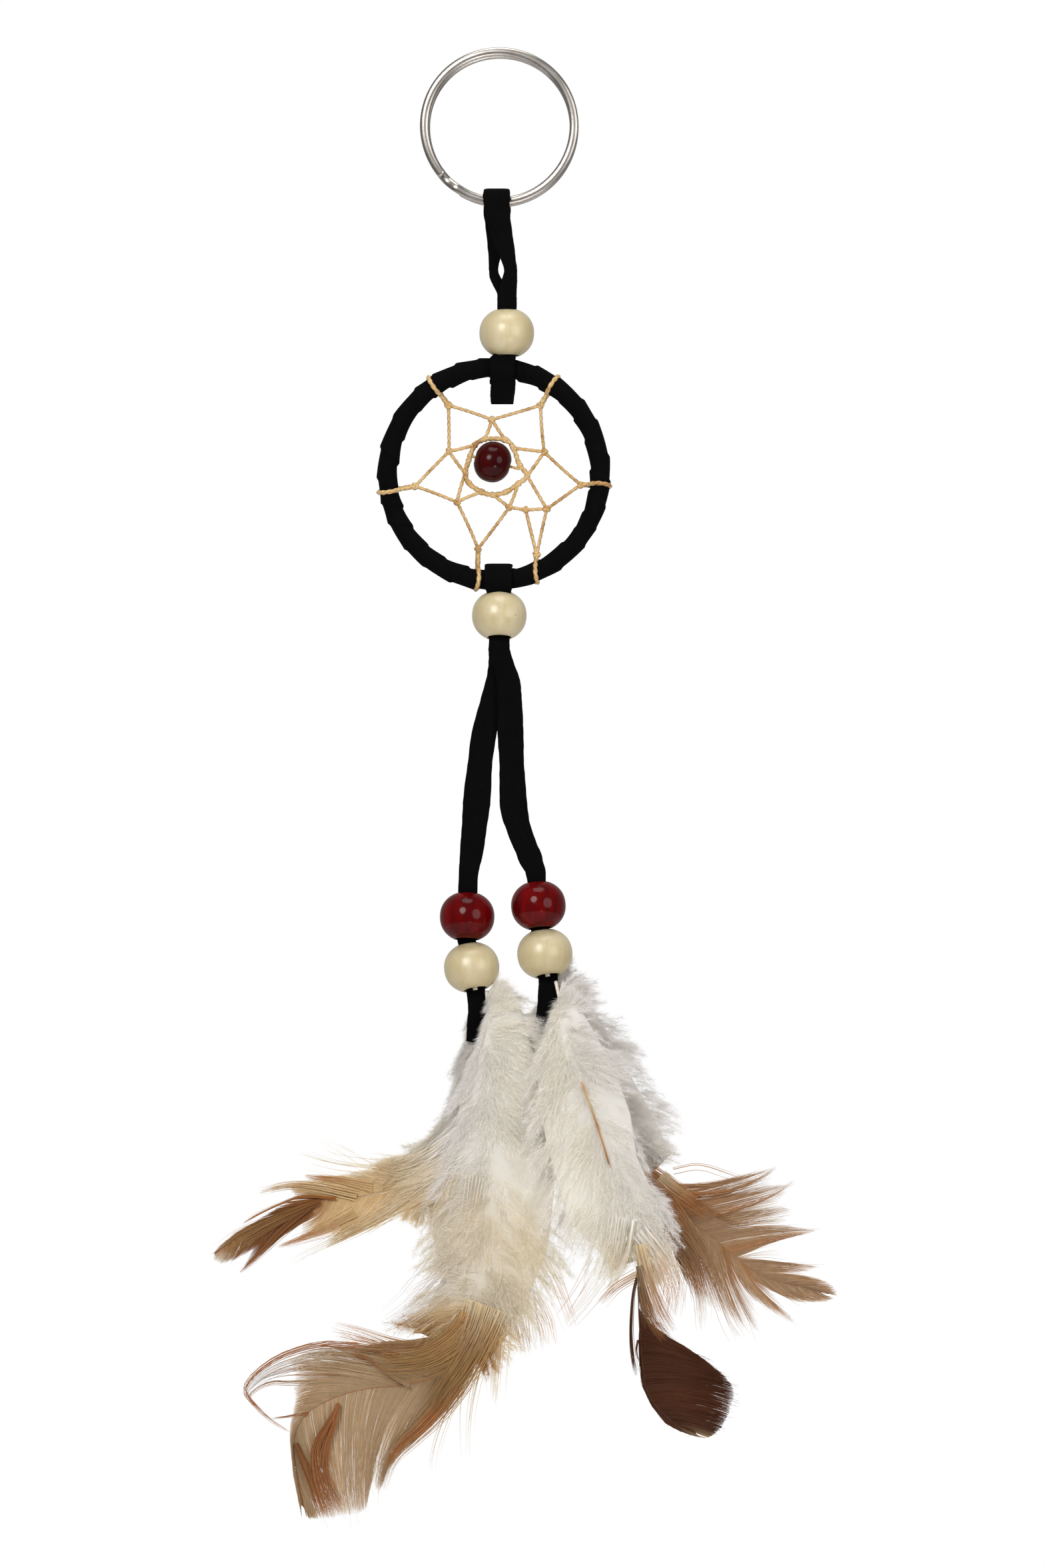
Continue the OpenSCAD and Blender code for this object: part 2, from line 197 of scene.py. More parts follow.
def suede():
    """Deep black nap that hardly shines."""
    s = Shader("black_suede")
    s.set(Roughness=0.96, Sheen_Weight=0.02, Sheen_Roughness=0.4, Specular_IOR_Level=0.03)
    s.set(Sheen_Tint=(0.4, 0.4, 0.46, 1))
    patches = s.noise(260, 4, 0.6)
    nap = s.noise(3800, 3, 0.7, vector=s.stretch((1, 1, 0.45)))
    black = s.ramp(patches, (0.3, (0.001, 0.001, 0.0011)), (0.75, (0.0024, 0.0023, 0.0025)))
    s.colour(s.mix(nap, black, (0.0042, 0.004, 0.0043)))
    s.bump(nap, 0.6, 0.00018)
    return s.material


def natural_wood():
    """Pale varnished wood with an upright grain and rare dark pores."""
    s = Shader("varnished_pale_wood")
    s.set(Coat_Weight=0.55, Coat_Roughness=0.24, Coat_IOR=1.45, Subsurface_Weight=0.12)
    s.set(Subsurface_Radius=(0.8, 0.55, 0.3), Subsurface_Scale=0.001)
    grain = s.noise(520, 4, 0.6, vector=s.stretch((1, 1, 0.16)), distortion=0.4)
    wood = s.ramp(grain, (0.2, (0.5, 0.4, 0.215)), (0.5, (0.56, 0.47, 0.28)), (0.85, (0.61, 0.53, 0.35)))
    shade = s.mix(s.ramp(s.noise(120, 2), (0.4, 0.0), (0.8, 0.45)), wood, (0.78, 0.68, 0.42), "MULTIPLY")
    pores = s.ramp(s.cells(640, s.stretch((1, 1, 0.55))), (0.035, 1.0), (0.075, 0.0))
    rare = s.ramp(s.noise(330, 1), (0.5, 0.0), (0.62, 1.0))
    specks = s.mix(1.0, pores, rare, "MULTIPLY")
    s.colour(s.mix(specks, shade, (0.13, 0.07, 0.03)))
    s.roughness(s.ramp(grain, (0.3, 0.36), (0.8, 0.5)))
    s.bump(grain, 0.12, 0.0001)
    return s.material


def stained_wood(name, dark, light, coat_roughness):
    """Wood under coloured lacquer, darker along its grain."""
    s = Shader(name)
    s.set(Coat_Weight=0.5, Coat_Roughness=coat_roughness, Coat_IOR=1.33, Specular_IOR_Level=0.02)
    grain = s.noise(430, 5, 0.65, vector=s.stretch((1, 1, 0.2)), distortion=0.5)
    s.colour(s.ramp(grain, (0.28, dark), (0.74, light)))
    s.roughness(s.ramp(grain, (0.3, 0.5), (0.8, 0.65)))
    s.bump(grain, 0.08, 0.0001)
    return s.material


def waxed_thread():
    """Golden thread with brown patches and fine fibres."""
    s = Shader("waxed_thread")
    s.set(Roughness=0.42, Coat_Weight=0.25, Coat_Roughness=0.3, Sheen_Weight=0.2)
    patches = s.noise(350, 3)
    fibre = s.noise(3000, 3, 0.7, vector=s.stretch((1, 0.3, 1)))
    golden = s.ramp(patches, (0.32, (0.34, 0.15, 0.03)), (0.46, (0.6, 0.37, 0.12)),
                    (0.72, (0.74, 0.53, 0.25)))
    s.colour(s.mix(s.ramp(fibre, (0.35, 0.4), (0.65, 0.0)), golden, (0.26, 0.11, 0.025)))
    s.bump(fibre, 0.3, 0.0001)
    return s.material


def horn():
    """The feathers' shafts, in the colour that each point carries."""
    s = Shader("feather_shaft")
    s.set(Roughness=0.35, Specular_IOR_Level=0.5)
    tone = s.attribute("tone")
    s.colour(s.mix(s.ramp(s.noise(1300, 3), (0.3, 0.0), (0.8, 0.45)), tone, (0.3, 0.14, 0.05), "MULTIPLY"))
    s.bump(s.noise(2500, 2, vector=s.stretch((1, 1, 0.2))), 0.2, 0.0001)
    return s.material


def quill():
    """The quill ends inside the natural beads."""
    s = Shader("quill_horn")
    s.set(Roughness=0.38, Specular_IOR_Level=0.5, Subsurface_Weight=0.1)
    fibre = s.noise(900, 3, vector=s.stretch((1, 1, 0.2)))
    s.colour(s.ramp(fibre, (0.3, (0.62, 0.5, 0.3)), (0.55, (0.8, 0.71, 0.52)), (0.8, (0.87, 0.81, 0.68))))
    s.bump(fibre, 0.2, 0.0001)
    return s.material


def plume(name, share, roughness, sheen, mottle):
    """Barbs in the colour that each point carries; share is the light that they let through."""
    s = Shader(name)
    s.set(Roughness=roughness, Sheen_Weight=sheen, Sheen_Roughness=0.4, Specular_IOR_Level=0.25)
    spots = s.ramp(s.noise(900, 3, 0.7), (0.25, mottle), (0.65, 0.0))
    mottled = s.mix(spots, s.attribute("tone"), (0.6, 0.5, 0.42), "MULTIPLY")
    s.colour(mottled)
    s.see_through(share, mottled)
    return s.material


NICKEL = nickel()
STEEL = wire_steel()
SUEDE = suede()
PALE_WOOD = natural_wood()
RED_WOOD = stained_wood("red_lacquered_wood", (0.02, 0.0002, 0.0004), (0.17, 0.001, 0.0016), 0.12)
MAROON_WOOD = stained_wood("maroon_lacquered_wood", (0.014, 0.0003, 0.0004), (0.06, 0.0012, 0.0014), 0.16)
THREAD = waxed_thread()
HORN = horn()
QUILL = quill()
VANE = plume("feather_vane", 0.4, 0.55, 0.2, 0.3)
DOWN = plume("feather_down", 0.45, 0.85, 0.1, 0.06)


# ---------------------------------------------------------------- mesh helpers
def mesh_object(name, points, faces, material, tones=None, smooth=True):
    """A mesh piece from points in mm. tones is one colour per point."""
    mesh = bpy.data.meshes.new(name)
    points = np.asarray(points, float) * MM
    mesh.from_pydata(points.tolist(), [], faces.tolist() if hasattr(faces, "tolist") else faces)
    mesh.update()
    mesh.polygons.foreach_set("use_smooth", np.full(len(mesh.polygons), smooth))
    mesh.materials.append(material)
    if tones is not None:
        layer = mesh.color_attributes.new("tone", "FLOAT_COLOR", "POINT")
        rgba = np.ones((len(points), 4), np.float32)
        rgba[:, :3] = tones
        layer.data.foreach_set("color", rgba.ravel())
    obj = bpy.data.objects.new(name, mesh)
    bpy.context.scene.collection.objects.link(obj)
    return obj


def place(obj, body, slot, *nodes):
    """Gives a piece its body and hides the CAD nodes that it stands in for; slot is not used."""
    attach(obj, body)
    if nodes:
        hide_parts(*nodes)
    return obj


def joined(parts):
    """Several (points, faces) as one."""
    points, faces, start = [], [], 0
    for part_points, part_faces in parts:
        points.append(np.asarray(part_points, float))
        faces.extend([[i + start for i in f] for f in part_faces])
        start += len(part_points)
    return np.concatenate(points), faces


def circle(count):
    """Evenly spaced angles round a full turn."""
    return np.linspace(0, 2 * math.pi, count, endpoint=False)


def unit(v):
    """Vectors of length 1."""
    return v / np.maximum(np.linalg.norm(v, axis=-1, keepdims=True), 1e-9)


def smooth_line(points, per_span=8):
    """A Catmull-Rom line through the points, any number of columns."""
    p = np.asarray(points, float)
    p = np.vstack([2 * p[0] - p[1], p, 2 * p[-1] - p[-2]])
    t = np.linspace(0, 1, per_span, endpoint=False)[:, None]
    spans = []
    for a, b, c, d in zip(p[:-3], p[1:-2], p[2:-1], p[3:]):
        spans.append(0.5 * (2 * b + (c - a) * t + (2 * a - 5 * b + 4 * c - d) * t ** 2
                            + (3 * b - a - 3 * c + d) * t ** 3))
    return np.vstack(spans + [p[-2:-1]])


def skin(rings, closed=False):
    """Faces over rings of points, shape (rings, sides, 3), with a cap on each end unless closed."""
    count, sides = rings.shape[:2]
    faces = []
    for i in range(count if closed else count - 1):
        j = (i + 1) % count
        for k in range(sides):
            m = (k + 1) % sides
            faces.append([i * sides + k, i * sides + m, j * sides + m, j * sides + k])
    if not closed:
        faces.append(list(range(sides))[::-1])
        faces.append([(count - 1) * sides + k for k in range(sides)])
    return rings.reshape(-1, 3), faces


def frames(line, up=(0, 1, 0), closed=False):
    """Tangent, side and normal along a line; side stays as near to up's plane as it can."""
    if closed:
        tangent = unit(np.roll(line, -1, 0) - np.roll(line, 1, 0))
    else:
        tangent = unit(np.gradient(line, axis=0))
    side = unit(np.cross(tangent, np.asarray(up, float)))
    return tangent, side, np.cross(side, tangent)


def tube(line, radius, sides=10, up=(0, 1, 0), closed=False):
    """A round tube; radius may change along it."""
    line = np.asarray(line, float)
    _, side, normal = frames(line, up, closed)
    a = circle(sides)[None, :, None]
    r = np.broadcast_to(radius, len(line))[:, None, None]
    rings = line[:, None] + r * (side[:, None] * np.cos(a) + normal[:, None] * np.sin(a))
    return skin(rings, closed)


def twisted(line, thick, pitch, sides=12, up=(0, 1, 0), closed=False):
    """Two strands laid round each other: a two-lobed section that turns once every pitch."""
    line = np.asarray(line, float)
    _, side, normal = frames(line, up, closed)
    run = np.concatenate([[0], np.cumsum(np.linalg.norm(np.diff(line, axis=0), axis=1))])
    a = circle(sides)
    turn = run[:, None] / pitch * 2 * math.pi + a[None]
    lobes = thick / 2 * (0.72 + 0.28 * np.abs(np.cos(a)) ** 1.2)
    rings = line[:, None] + lobes[None, :, None] * (
        side[:, None] * np.cos(turn)[..., None] + normal[:, None] * np.sin(turn)[..., None])
    return skin(rings, closed)


def ribbon_section(sides=18):
    """Half-width and half-thickness multipliers round a strap with full, rounded edges."""
    a = circle(sides)
    c, s = np.cos(a), np.sin(a)
    return np.sign(c) * np.abs(c) ** 0.32, np.sign(s) * np.abs(s) ** 0.62


# ---------------------------------------------------------------- key ring
RING_R = 14.15   # middle of the wire
RING_WIRE = 1.7   # width of the wire, across the ring
COIL_T = 1.05   # thickness of one coil, along the ring's axis
COIL_Y = 0.56   # how far each coil sits from the ring's middle plane
FRONT_SHIFT = (0.12, -0.28)   # x and z of the front coil's centre from the back one's
FRONT_SMALLER = 0.1   # the front coil's radius is this much less
STEP_AT = 223   # where the wire steps over, degrees from +X towards +Z
STEP_TURN = 13   # degrees that the step takes
COIL_TURN = 345   # degrees of each coil
COIL_RINGS = 220
STEP_RINGS = 14
WIRE_SIDES = 32


def key_ring():
    """One flat wire wound twice, which steps from the front coil to the back one."""
    turn = np.concatenate([np.linspace(-COIL_TURN, 0, COIL_RINGS),
                           np.linspace(0, STEP_TURN, STEP_RINGS)[1:],
                           np.linspace(STEP_TURN, STEP_TURN + COIL_TURN, COIL_RINGS)[1:]])
    step = np.clip(turn / STEP_TURN, 0, 1)
    step = step * step * (3 - 2 * step)
    y = COIL_Y - 2 * COIL_Y * step
    angle = np.radians(STEP_AT + turn)
    back = 1 - step
    radius = RING_R - FRONT_SMALLER * back + 0.05 * np.sin(3 * angle)
    centre = np.stack([FRONT_SHIFT[0] * back, y, FRONT_SHIFT[1] * back], 1)
    out = np.stack([np.cos(angle), 0 * angle, np.sin(angle)], 1)
    line = centre + out * radius[:, None]
    a = circle(WIRE_SIDES)
    wide, deep = np.cos(a) * RING_WIRE / 2, np.sin(a) * COIL_T / 2
    from_end = np.minimum(turn + COIL_TURN, COIL_TURN + STEP_TURN - turn)
    ends = np.minimum(1, from_end / 1.6 * 0.35 + 0.72)
    rings = line[:, None] + out[:, None] * (wide[None] * ends[:, None])[..., None]
    rings = rings + np.array([0, 1, 0]) * (deep[None] * ends[:, None])[..., None]
    place(mesh_object("split_ring_wire", *skin(rings), NICKEL), "key_ring", "key_ring_wire", "split_ring")


# ---------------------------------------------------------------- laces
LACE_T = 0.9   # thickness of the lace where it is looped
ARCH_R = 2.02   # of the loop over the key ring's wire


def across_lace(stations, seed):
    """A lace whose width runs along X: stations are (left x, right x, y, z)."""
    s = smooth_line(stations, 6)
    rng = np.random.default_rng(seed)
    line = s[:, 2:]
    tangent = unit(np.gradient(line, axis=0))
    normal = np.stack([-tangent[:, 1], tangent[:, 0]], 1)
    wide, deep = ribbon_section()
    drift = np.cumsum(rng.normal(0, 0.06, (len(s), 2)), 0)
    drift -= np.linspace(0, 1, len(s))[:, None] * drift[-1]
    left = s[:, 0] + drift[:, 0] * 0.4
    right = s[:, 1] + drift[:, 1] * 0.4
    x = (left + right)[:, None] / 2 + (right - left)[:, None] / 2 * wide[None]
    off = LACE_T / 2 * deep[None]
    y = line[:, :1] + normal[:, :1] * off
    z = line[:, 1:] + normal[:, 1:] * off
    return skin(np.stack([x, y, z], 2))


def lace_piece(name, mesh, body, node):
    """One looped stretch of lace in suede, in place of its CAD node."""
    place(mesh_object(name, *mesh, SUEDE), body, "black_suede", node)


def hanger_lace():
    """The folded lace over the ring: front leg up, over the wire and down behind, both into the bead."""
    arch = [(-2.95, 2.15, ARCH_R * math.cos(a), -RING_R + ARCH_R * math.sin(a))
            for a in np.radians(range(180, -1, -30))]
    front = [(-0.3, 3.25, -0.55, -36.5), (-0.35, 3.3, -0.55, -33.5), (-0.05, 3.35, -0.6, -31),
             (0.45, 3.4, -0.75, -29.2), (0.95, 3.4, -0.95, -27.2), (0.15, 3.15, -1.15, -24.8),
             (-0.9, 2.9, -1.35, -22.3), (-2, 2.5, -1.6, -19), (-2.6, 2.2, -1.85, -16.2)]
    back = [(-2.95, 2.1, 1.9, -16.2), (-2.6, 1.9, 1.6, -18.5), (-2.2, 1.2, 1.3, -21.5),
            (-1.85, 0.3, 1.1, -24.5), (-1.75, -0.15, 0.95, -27), (-1.55, 0.5, 0.75, -28.8),
            (-1, 2, 0.65, -30.2), (-0.4, 3.1, 0.55, -31.6), (-0.35, 3.25, 0.55, -33.5),
            (-0.3, 3.2, 0.55, -36.5)]
    lace_piece("hanger_lace_loop", across_lace(front + arch + back, 3), "hanger", "hanger_lace")


SLING_Z = -45.7   # middle of the sling's loop, near the hoop's tube at its top
TAIL_Z = -85.7   # middle of the tail's loop, near the tube at its bottom


def round_tube(left, right, radius, centre_z, way):
    """Stations from the front of the hoop's tube to its back, over it (way 1) or under it (way -1)."""
    return [(left, right, -radius * math.cos(a), centre_z + way * radius * math.sin(a))
            for a in np.radians(range(-40, 221, 20))]


def sling_lace():
    """The lace that hangs the hoop: out of the upper bead, round the tube, with its cut end below."""
    path = [(-0.35, 3.2, -0.55, -40), (-0.45, 3.2, -0.6, -42), (-1, 3.2, -1.6, -43.2)]
    path += round_tube(-1.65, 3.1, 2.72, SLING_Z, -1)
    path += [(-1, 3.2, 1.6, -43.2), (-0.45, 3.2, 0.6, -42), (-0.35, 3.2, 0.55, -40)]
    tab = [(-1.5, 2.95, -1.7, -46.5), (-1.6, 3.1, -1.2, -48.2), (-1.62, 3.05, -0.4, -49.8),
           (-1.6, 2.85, -0.2, -51.4), (-1.55, 2.72, -0.2, -52.5)]
    mesh = joined([across_lace(path, 5), across_lace(tab, 7)])
    lace_piece("sling_lace_loop", mesh, "sling", "sling_lace")


def tail_lace():
    """The lace round the bottom of the hoop and into the lower bead."""
    path = [(-1.75, 1.75, -0.55, -93), (-1.85, 1.85, -0.7, -89.6), (-2.3, 2.1, -1.75, -88.1)]
    path += round_tube(-2.6, 2.35, 2.66, TAIL_Z, 1)
    path += [(-2.3, 2.1, 1.75, -88.1), (-1.85, 1.85, 0.7, -89.6), (-1.75, 1.75, 0.55, -93)]
    lace_piece("tail_lace_loop", across_lace(path, 9), "tail", "tail_lace")


STRAND_T = 1.1
STRAND_Y = 0.65   # the left strand hangs this far behind the middle plane, the right one in front
# Routes of the two hanging strands, (x, z, width), from inside the lower bead to the cut end
LEFT_ROUTE = [(0, -92.5, 3.7), (0, -96, 3.8), (0, -99.2, 3.9), (-0.2, -102, 4), (-0.7, -105.5, 4.2),
              (-1.7, -110, 4.4), (-2.9, -115, 4.7), (-3.7, -121, 4.9), (-4.3, -128, 5), (-4.8, -133, 4.8),
              (-5.3, -137.5, 4.4), (-5.85, -141.5, 3.6), (-6.05, -148, 3.4), (-6.2, -153.5, 3.5),
              (-6.05, -154.6, 3.5), (-5.25, -159, 3.4), (-4.4, -163.7, 3.6), (-4, -167, 3.9),
              (-4.1, -170, 3.9), (-4.3, -173.3, 3.9)]
RIGHT_ROUTE = [(0, -92.5, 3.7), (0, -96, 3.8), (0, -99.2, 3.9), (0.9, -102, 4), (1.7, -105, 4.6),
               (2, -109, 4.8), (2.1, -114, 4.8), (2.3, -119, 4.8), (2.5, -124, 4.8), (2.8, -129, 4.8),
               (3.8, -133, 4.8), (5.2, -136.6, 4.6), (6.3, -139.3, 4.2), (6.95, -141.3, 3.6),
               (7.4, -147.3, 3.4), (7.75, -151.8, 3.5), (8.1, -153.3, 3.5), (8.7, -157, 3.4),
               (9.25, -161.2, 3.6), (9.2, -164, 3.7), (8.8, -168, 3.7), (8.3, -172.4, 3.7)]


def strand(name, route, y, twist, cut, seed):
    """A flat lace along the route, a little twisted and crooked, and the route itself in metres.

    twist is in degrees, and cut is how far the end's corners slope along the lace.
    """
    s = smooth_line(route, 6)
    count = len(s)
    rng = np.random.default_rng(seed)
    line = np.stack([s[:, 0], np.full(count, y), s[:, 1]], 1)
    tangent, side, normal = frames(line)
    along = np.linspace(0, 1, count)
    angle = np.radians(twist) * np.sin(along * math.pi * 2.3 + 0.4) * np.clip((along - 0.08) * 5, 0, 1)
    edge = unit(side * np.cos(angle)[:, None] + normal * np.sin(angle)[:, None])
    face = np.cross(tangent, edge)
    wide, deep = ribbon_section(22)
    ragged = np.convolve(rng.normal(0, 0.16, count + 8), np.ones(5) / 5, "same")[4:-4]
    half = s[:, 2] / 2 + ragged
    cupped = -0.12 * np.abs(wide) ** 2
    rings = line[:, None] + edge[:, None] * (half[:, None] * wide[None])[..., None]
    rings = rings + face[:, None] * (STRAND_T / 2 * deep[None] + cupped[None])[..., None]
    rings[-1] += tangent[-1] * (wide * cut)[:, None]
    rings[-2] += tangent[-2] * (wide * cut * 0.5)[:, None]
    obj = mesh_object(name, *skin(rings), SUEDE)
    return obj, line * MM


def strands():
    """Both hanging strands, which leave the lower bead and end cut off under the natural beads."""
    for side, route, y, twist, cut, seed in [
        ("left", LEFT_ROUTE, STRAND_Y, 9, 0.25, 11),
        ("right", RIGHT_ROUTE, -STRAND_Y, -8, -0.5, 12),
    ]:
        obj, path = strand(f"{side}_strand_lace", route, y, twist, cut, seed)
        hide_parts(f"{side}_lace")
        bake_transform(obj)


# ---------------------------------------------------------------- beads
BEAD_SIZE = (10.4, 8.6, 2.15)   # diameter, height and radius of the hole
WEB_BEAD_SIZE = (7.8, 6.8, 0.9)
BEAD_RIM = 0.28   # rounding where the hole begins
BEAD_SIDES = 64


def bead(name, at, y, tilt, tip, size, material, seed):
    """A turned bead: full round sides, softened rims and the bore; tilt turns it about Y and tip about X."""
    d, h, hole = size
    half = h / 2
    rim = BEAD_RIM
    a = np.linspace(-1, 1, 45)
    shrink = 1 - ((hole + rim) / (d / 2)) ** 2
    outer_r = d / 2 * np.sqrt(1 - shrink * np.abs(a) ** 2.2)
    profile = list(zip(outer_r, a * half))
    top = [(hole + rim - rim * math.sin(b), half - rim + rim * math.cos(b))
           for b in np.radians([22, 45, 68, 90])]
    bore = [(hole, z) for z in np.linspace(half - 2 * rim, -half + 2 * rim, 6)]
    bottom = [(r, -z) for r, z in top[::-1]]
    profile += top + bore + bottom
    turn = circle(BEAD_SIDES)
    rng = np.random.default_rng(seed)
    lump = 1 + 0.008 * np.sin(2 * turn + rng.uniform(0, 6)) + 0.005 * np.sin(3 * turn + rng.uniform(0, 6))
    profile = np.array(profile)
    x = profile[:, :1] * np.cos(turn) * lump
    yy = profile[:, :1] * np.sin(turn) * lump
    z = np.broadcast_to(profile[:, 1:], x.shape)
    tip, tilt = math.radians(tip), math.radians(-tilt)
    yy, z = yy * math.cos(tip) - z * math.sin(tip), yy * math.sin(tip) + z * math.cos(tip)
    x, z = x * math.cos(tilt) + z * math.sin(tilt), -x * math.sin(tilt) + z * math.cos(tilt)
    rings = np.stack([x + at[0], yy + y, z + at[1]], 2)
    points, faces = skin(rings, closed=True)
    return mesh_object(name, points, [f[::-1] for f in faces], material)


HOOP_AT = (-1, -65.7)   # x and z of the hoop's centre
WEB_BEAD_AT = (-0.25, 2.3)   # from the hoop's centre
WEB_BEAD_TILT = 15   # degrees that its thread slopes down to the right


def beads():
    """The seven beads: one above and one below the hoop, two on each strand and one in the web."""
    for side, at, tip, body, seed in [
        ("upper", (1.45, -39.05), -3, "top_bead", 41),
        ("lower", (0, -92.45), -12, "tail", 42),
    ]:
        obj = bead(f"{side}_bead_turned", at, 0, 0, tip, BEAD_SIZE, PALE_WOOD, seed)
        place(obj, body, "natural_bead", f"{side}_bead")
    for side, y, red_at, red_tilt, natural_at, natural_tilt in [
        ("left", STRAND_Y, (-6.08, -149.4), -1.6, (-5.25, -159), 10),
        ("right", -STRAND_Y, (7.4, -147.3), 4.4, (8.6, -156.4), 7.6),
    ]:
        obj = bead(f"{side}_red_bead_turned", red_at, y, red_tilt, -8, BEAD_SIZE, RED_WOOD, 43)
        place(obj, f"{side}_bead", "red_bead", f"{side}_red_bead")
        obj = bead(f"{side}_natural_bead_turned", natural_at, y, natural_tilt, -12, BEAD_SIZE, PALE_WOOD, 44)
        place(obj, f"{side}_strand", "natural_bead", f"{side}_natural_bead")
    at = (HOOP_AT[0] + WEB_BEAD_AT[0], HOOP_AT[1] + WEB_BEAD_AT[1])
    obj = bead("web_bead_turned", at, 0, -90 - WEB_BEAD_TILT, 0, WEB_BEAD_SIZE, MAROON_WOOD, 46)
    place(obj, "centre_bead", "maroon_bead", "web_bead")


# ---------------------------------------------------------------- hoop
HOOP_R = 20.1   # middle of the tube
TUBE_R = 1.9   # of the wrapped tube
WRAP_TURNS = 26
WRAP_STEPS = 18   # rings of points to each turn
WRAP_SIDES = 36
LAP_AT = 0.88   # share of a turn's width where its edge stands proud


def hoop_wrap():
    """Suede wound round the hoop: each turn laps over the last, with a raised edge that spirals."""
    rng = np.random.default_rng(21)
    u, v = np.meshgrid(circle(WRAP_TURNS * WRAP_STEPS), circle(WRAP_SIDES), indexing="ij")
    wander = 0.16 * np.sin(3 * u + 1) + 0.12 * np.sin(5 * u + 2.2) + 0.08 * np.sin(11 * u)
    phase = (u * WRAP_TURNS + v) / (2 * math.pi) + wander
    turn = np.floor(phase).astype(int) % WRAP_TURNS
    saw = phase - np.floor(phase)
    lap = np.where(saw < LAP_AT, saw / LAP_AT, (1 - saw) / (1 - LAP_AT))
    lift = rng.uniform(0.5, 1.35, WRAP_TURNS)[turn]
    sink = rng.uniform(-0.07, 0.07, WRAP_TURNS)[turn]
    r = TUBE_R - 0.14 + sink * np.sin(saw * math.pi) + 0.27 * lift * lap ** 1.5
    chord = 0.1 * (np.cos((saw - 0.5) * math.pi) - 0.6)
    ring = HOOP_R + r * np.cos(v) - chord * 0.6
    points = np.stack([HOOP_AT[0] + ring * np.cos(u), r * np.sin(v), HOOP_AT[1] + ring * np.sin(u)], 2)
    points, faces = skin(points, closed=True)
    wrap = mesh_object("hoop_suede_wrap", points, [f[::-1] for f in faces], SUEDE)
    place(wrap, "hoop", "black_suede", "hoop_wrap")


# ---------------------------------------------------------------- web
TIE_ANGLES = [124, 56.5, 354, 292, 261, 189]   # where the ties go round the hoop, degrees
# Knots of the web, (x, z) from the hoop's centre: those of the ties, of the outer round and of the loop
TIES = [(-8.6, 13), (8.8, 13), (16.4, -2), (8.1, -15.3), (-3, -14.1), (-14.9, -2.3)]
OUTER = [(-0.4, 10.3), (9.5, 4.2), (10, -6.6), (2.9, -6.3), (-7, -5.3), (-8.5, 4.3), (6, -6.8)]
LOOP = [(-1.7, 6.7), (2.1, 6.5), (3.7, 4.9), (4.8, 1.8), (6.3, -0.3), (4.6, -1.8), (2.3, -3.4), (-0.3, -3.9),
        (-2.3, -3.4), (-4.7, -1.8), (-5.4, 0.1), (-4.8, 2.5), (-3.6, 5.5)]
# Threads from knot to knot, counted in the lists above
TIE_TO_OUTER = [(0, 0), (0, 5), (1, 0), (1, 1), (2, 1), (2, 2), (3, 2), (3, 6), (4, 3), (4, 4), (5, 4),
                (5, 5)]
OUTER_TO_LOOP = [(0, 0), (0, 1), (1, 2), (1, 4), (2, 4), (3, 5), (3, 7), (4, 8), (4, 10), (5, 10), (5, 12)]


def on_hoop(p):
    """A point of the hoop's plane, from its centre."""
    return np.array([HOOP_AT[0] + p[0], 0, HOOP_AT[1] + p[1]])


THREAD_T = 0.72   # a single thread of the web
THREAD_BOW = 0.12   # most that it bows in the web's plane
THREAD_DEPTH = 0.15   # most that it bows to the front or back
BEAD_THREAD_T = 0.6   # the thread through the web's bead
TIE_T = 0.92   # each leg of the doubled thread round the hoop
COIL_THREAD_T = 1.05   # threads wound round each other
KNOT_R = 0.29   # radius of the thread in a knot
KNOT_SIZES = (0.5, 0.44, 0.36)   # at the ties, in the outer round and in the loop


def thread_between(a, b, rng):
    """One thread from knot to knot, with a small bow and its own twist."""
    t = np.linspace(0, 1, 28)[:, None]
    run = b - a
    across = unit(np.cross(run, [0, 1, 0]))
    bow = np.sin(t * math.pi) * rng.uniform(-THREAD_BOW, THREAD_BOW)
    deep = np.sin(t * math.pi) * rng.uniform(-THREAD_DEPTH, THREAD_DEPTH)
    line = a + run * t + across * bow + np.array([0, 1, 0]) * deep
    return twisted(line, THREAD_T, 2.4)


def knot(at, size, turn, rng):
    """An overhand knot pulled tight: a small trefoil."""
    t = circle(54)
    x = (np.sin(t) + 2 * np.sin(2 * t)) / 3
    z = (np.cos(t) - 2 * np.cos(2 * t)) / 3
    y = -np.sin(3 * t) * 0.55
    line = np.stack([x * math.cos(turn) - z * math.sin(turn), y, x * math.sin(turn) + z * math.cos(turn)], 1)
    line = at + line * size * rng.uniform(0.85, 1.15)
    return tube(line, KNOT_R, 8, up=(0.1, 1, 0.2), closed=True)


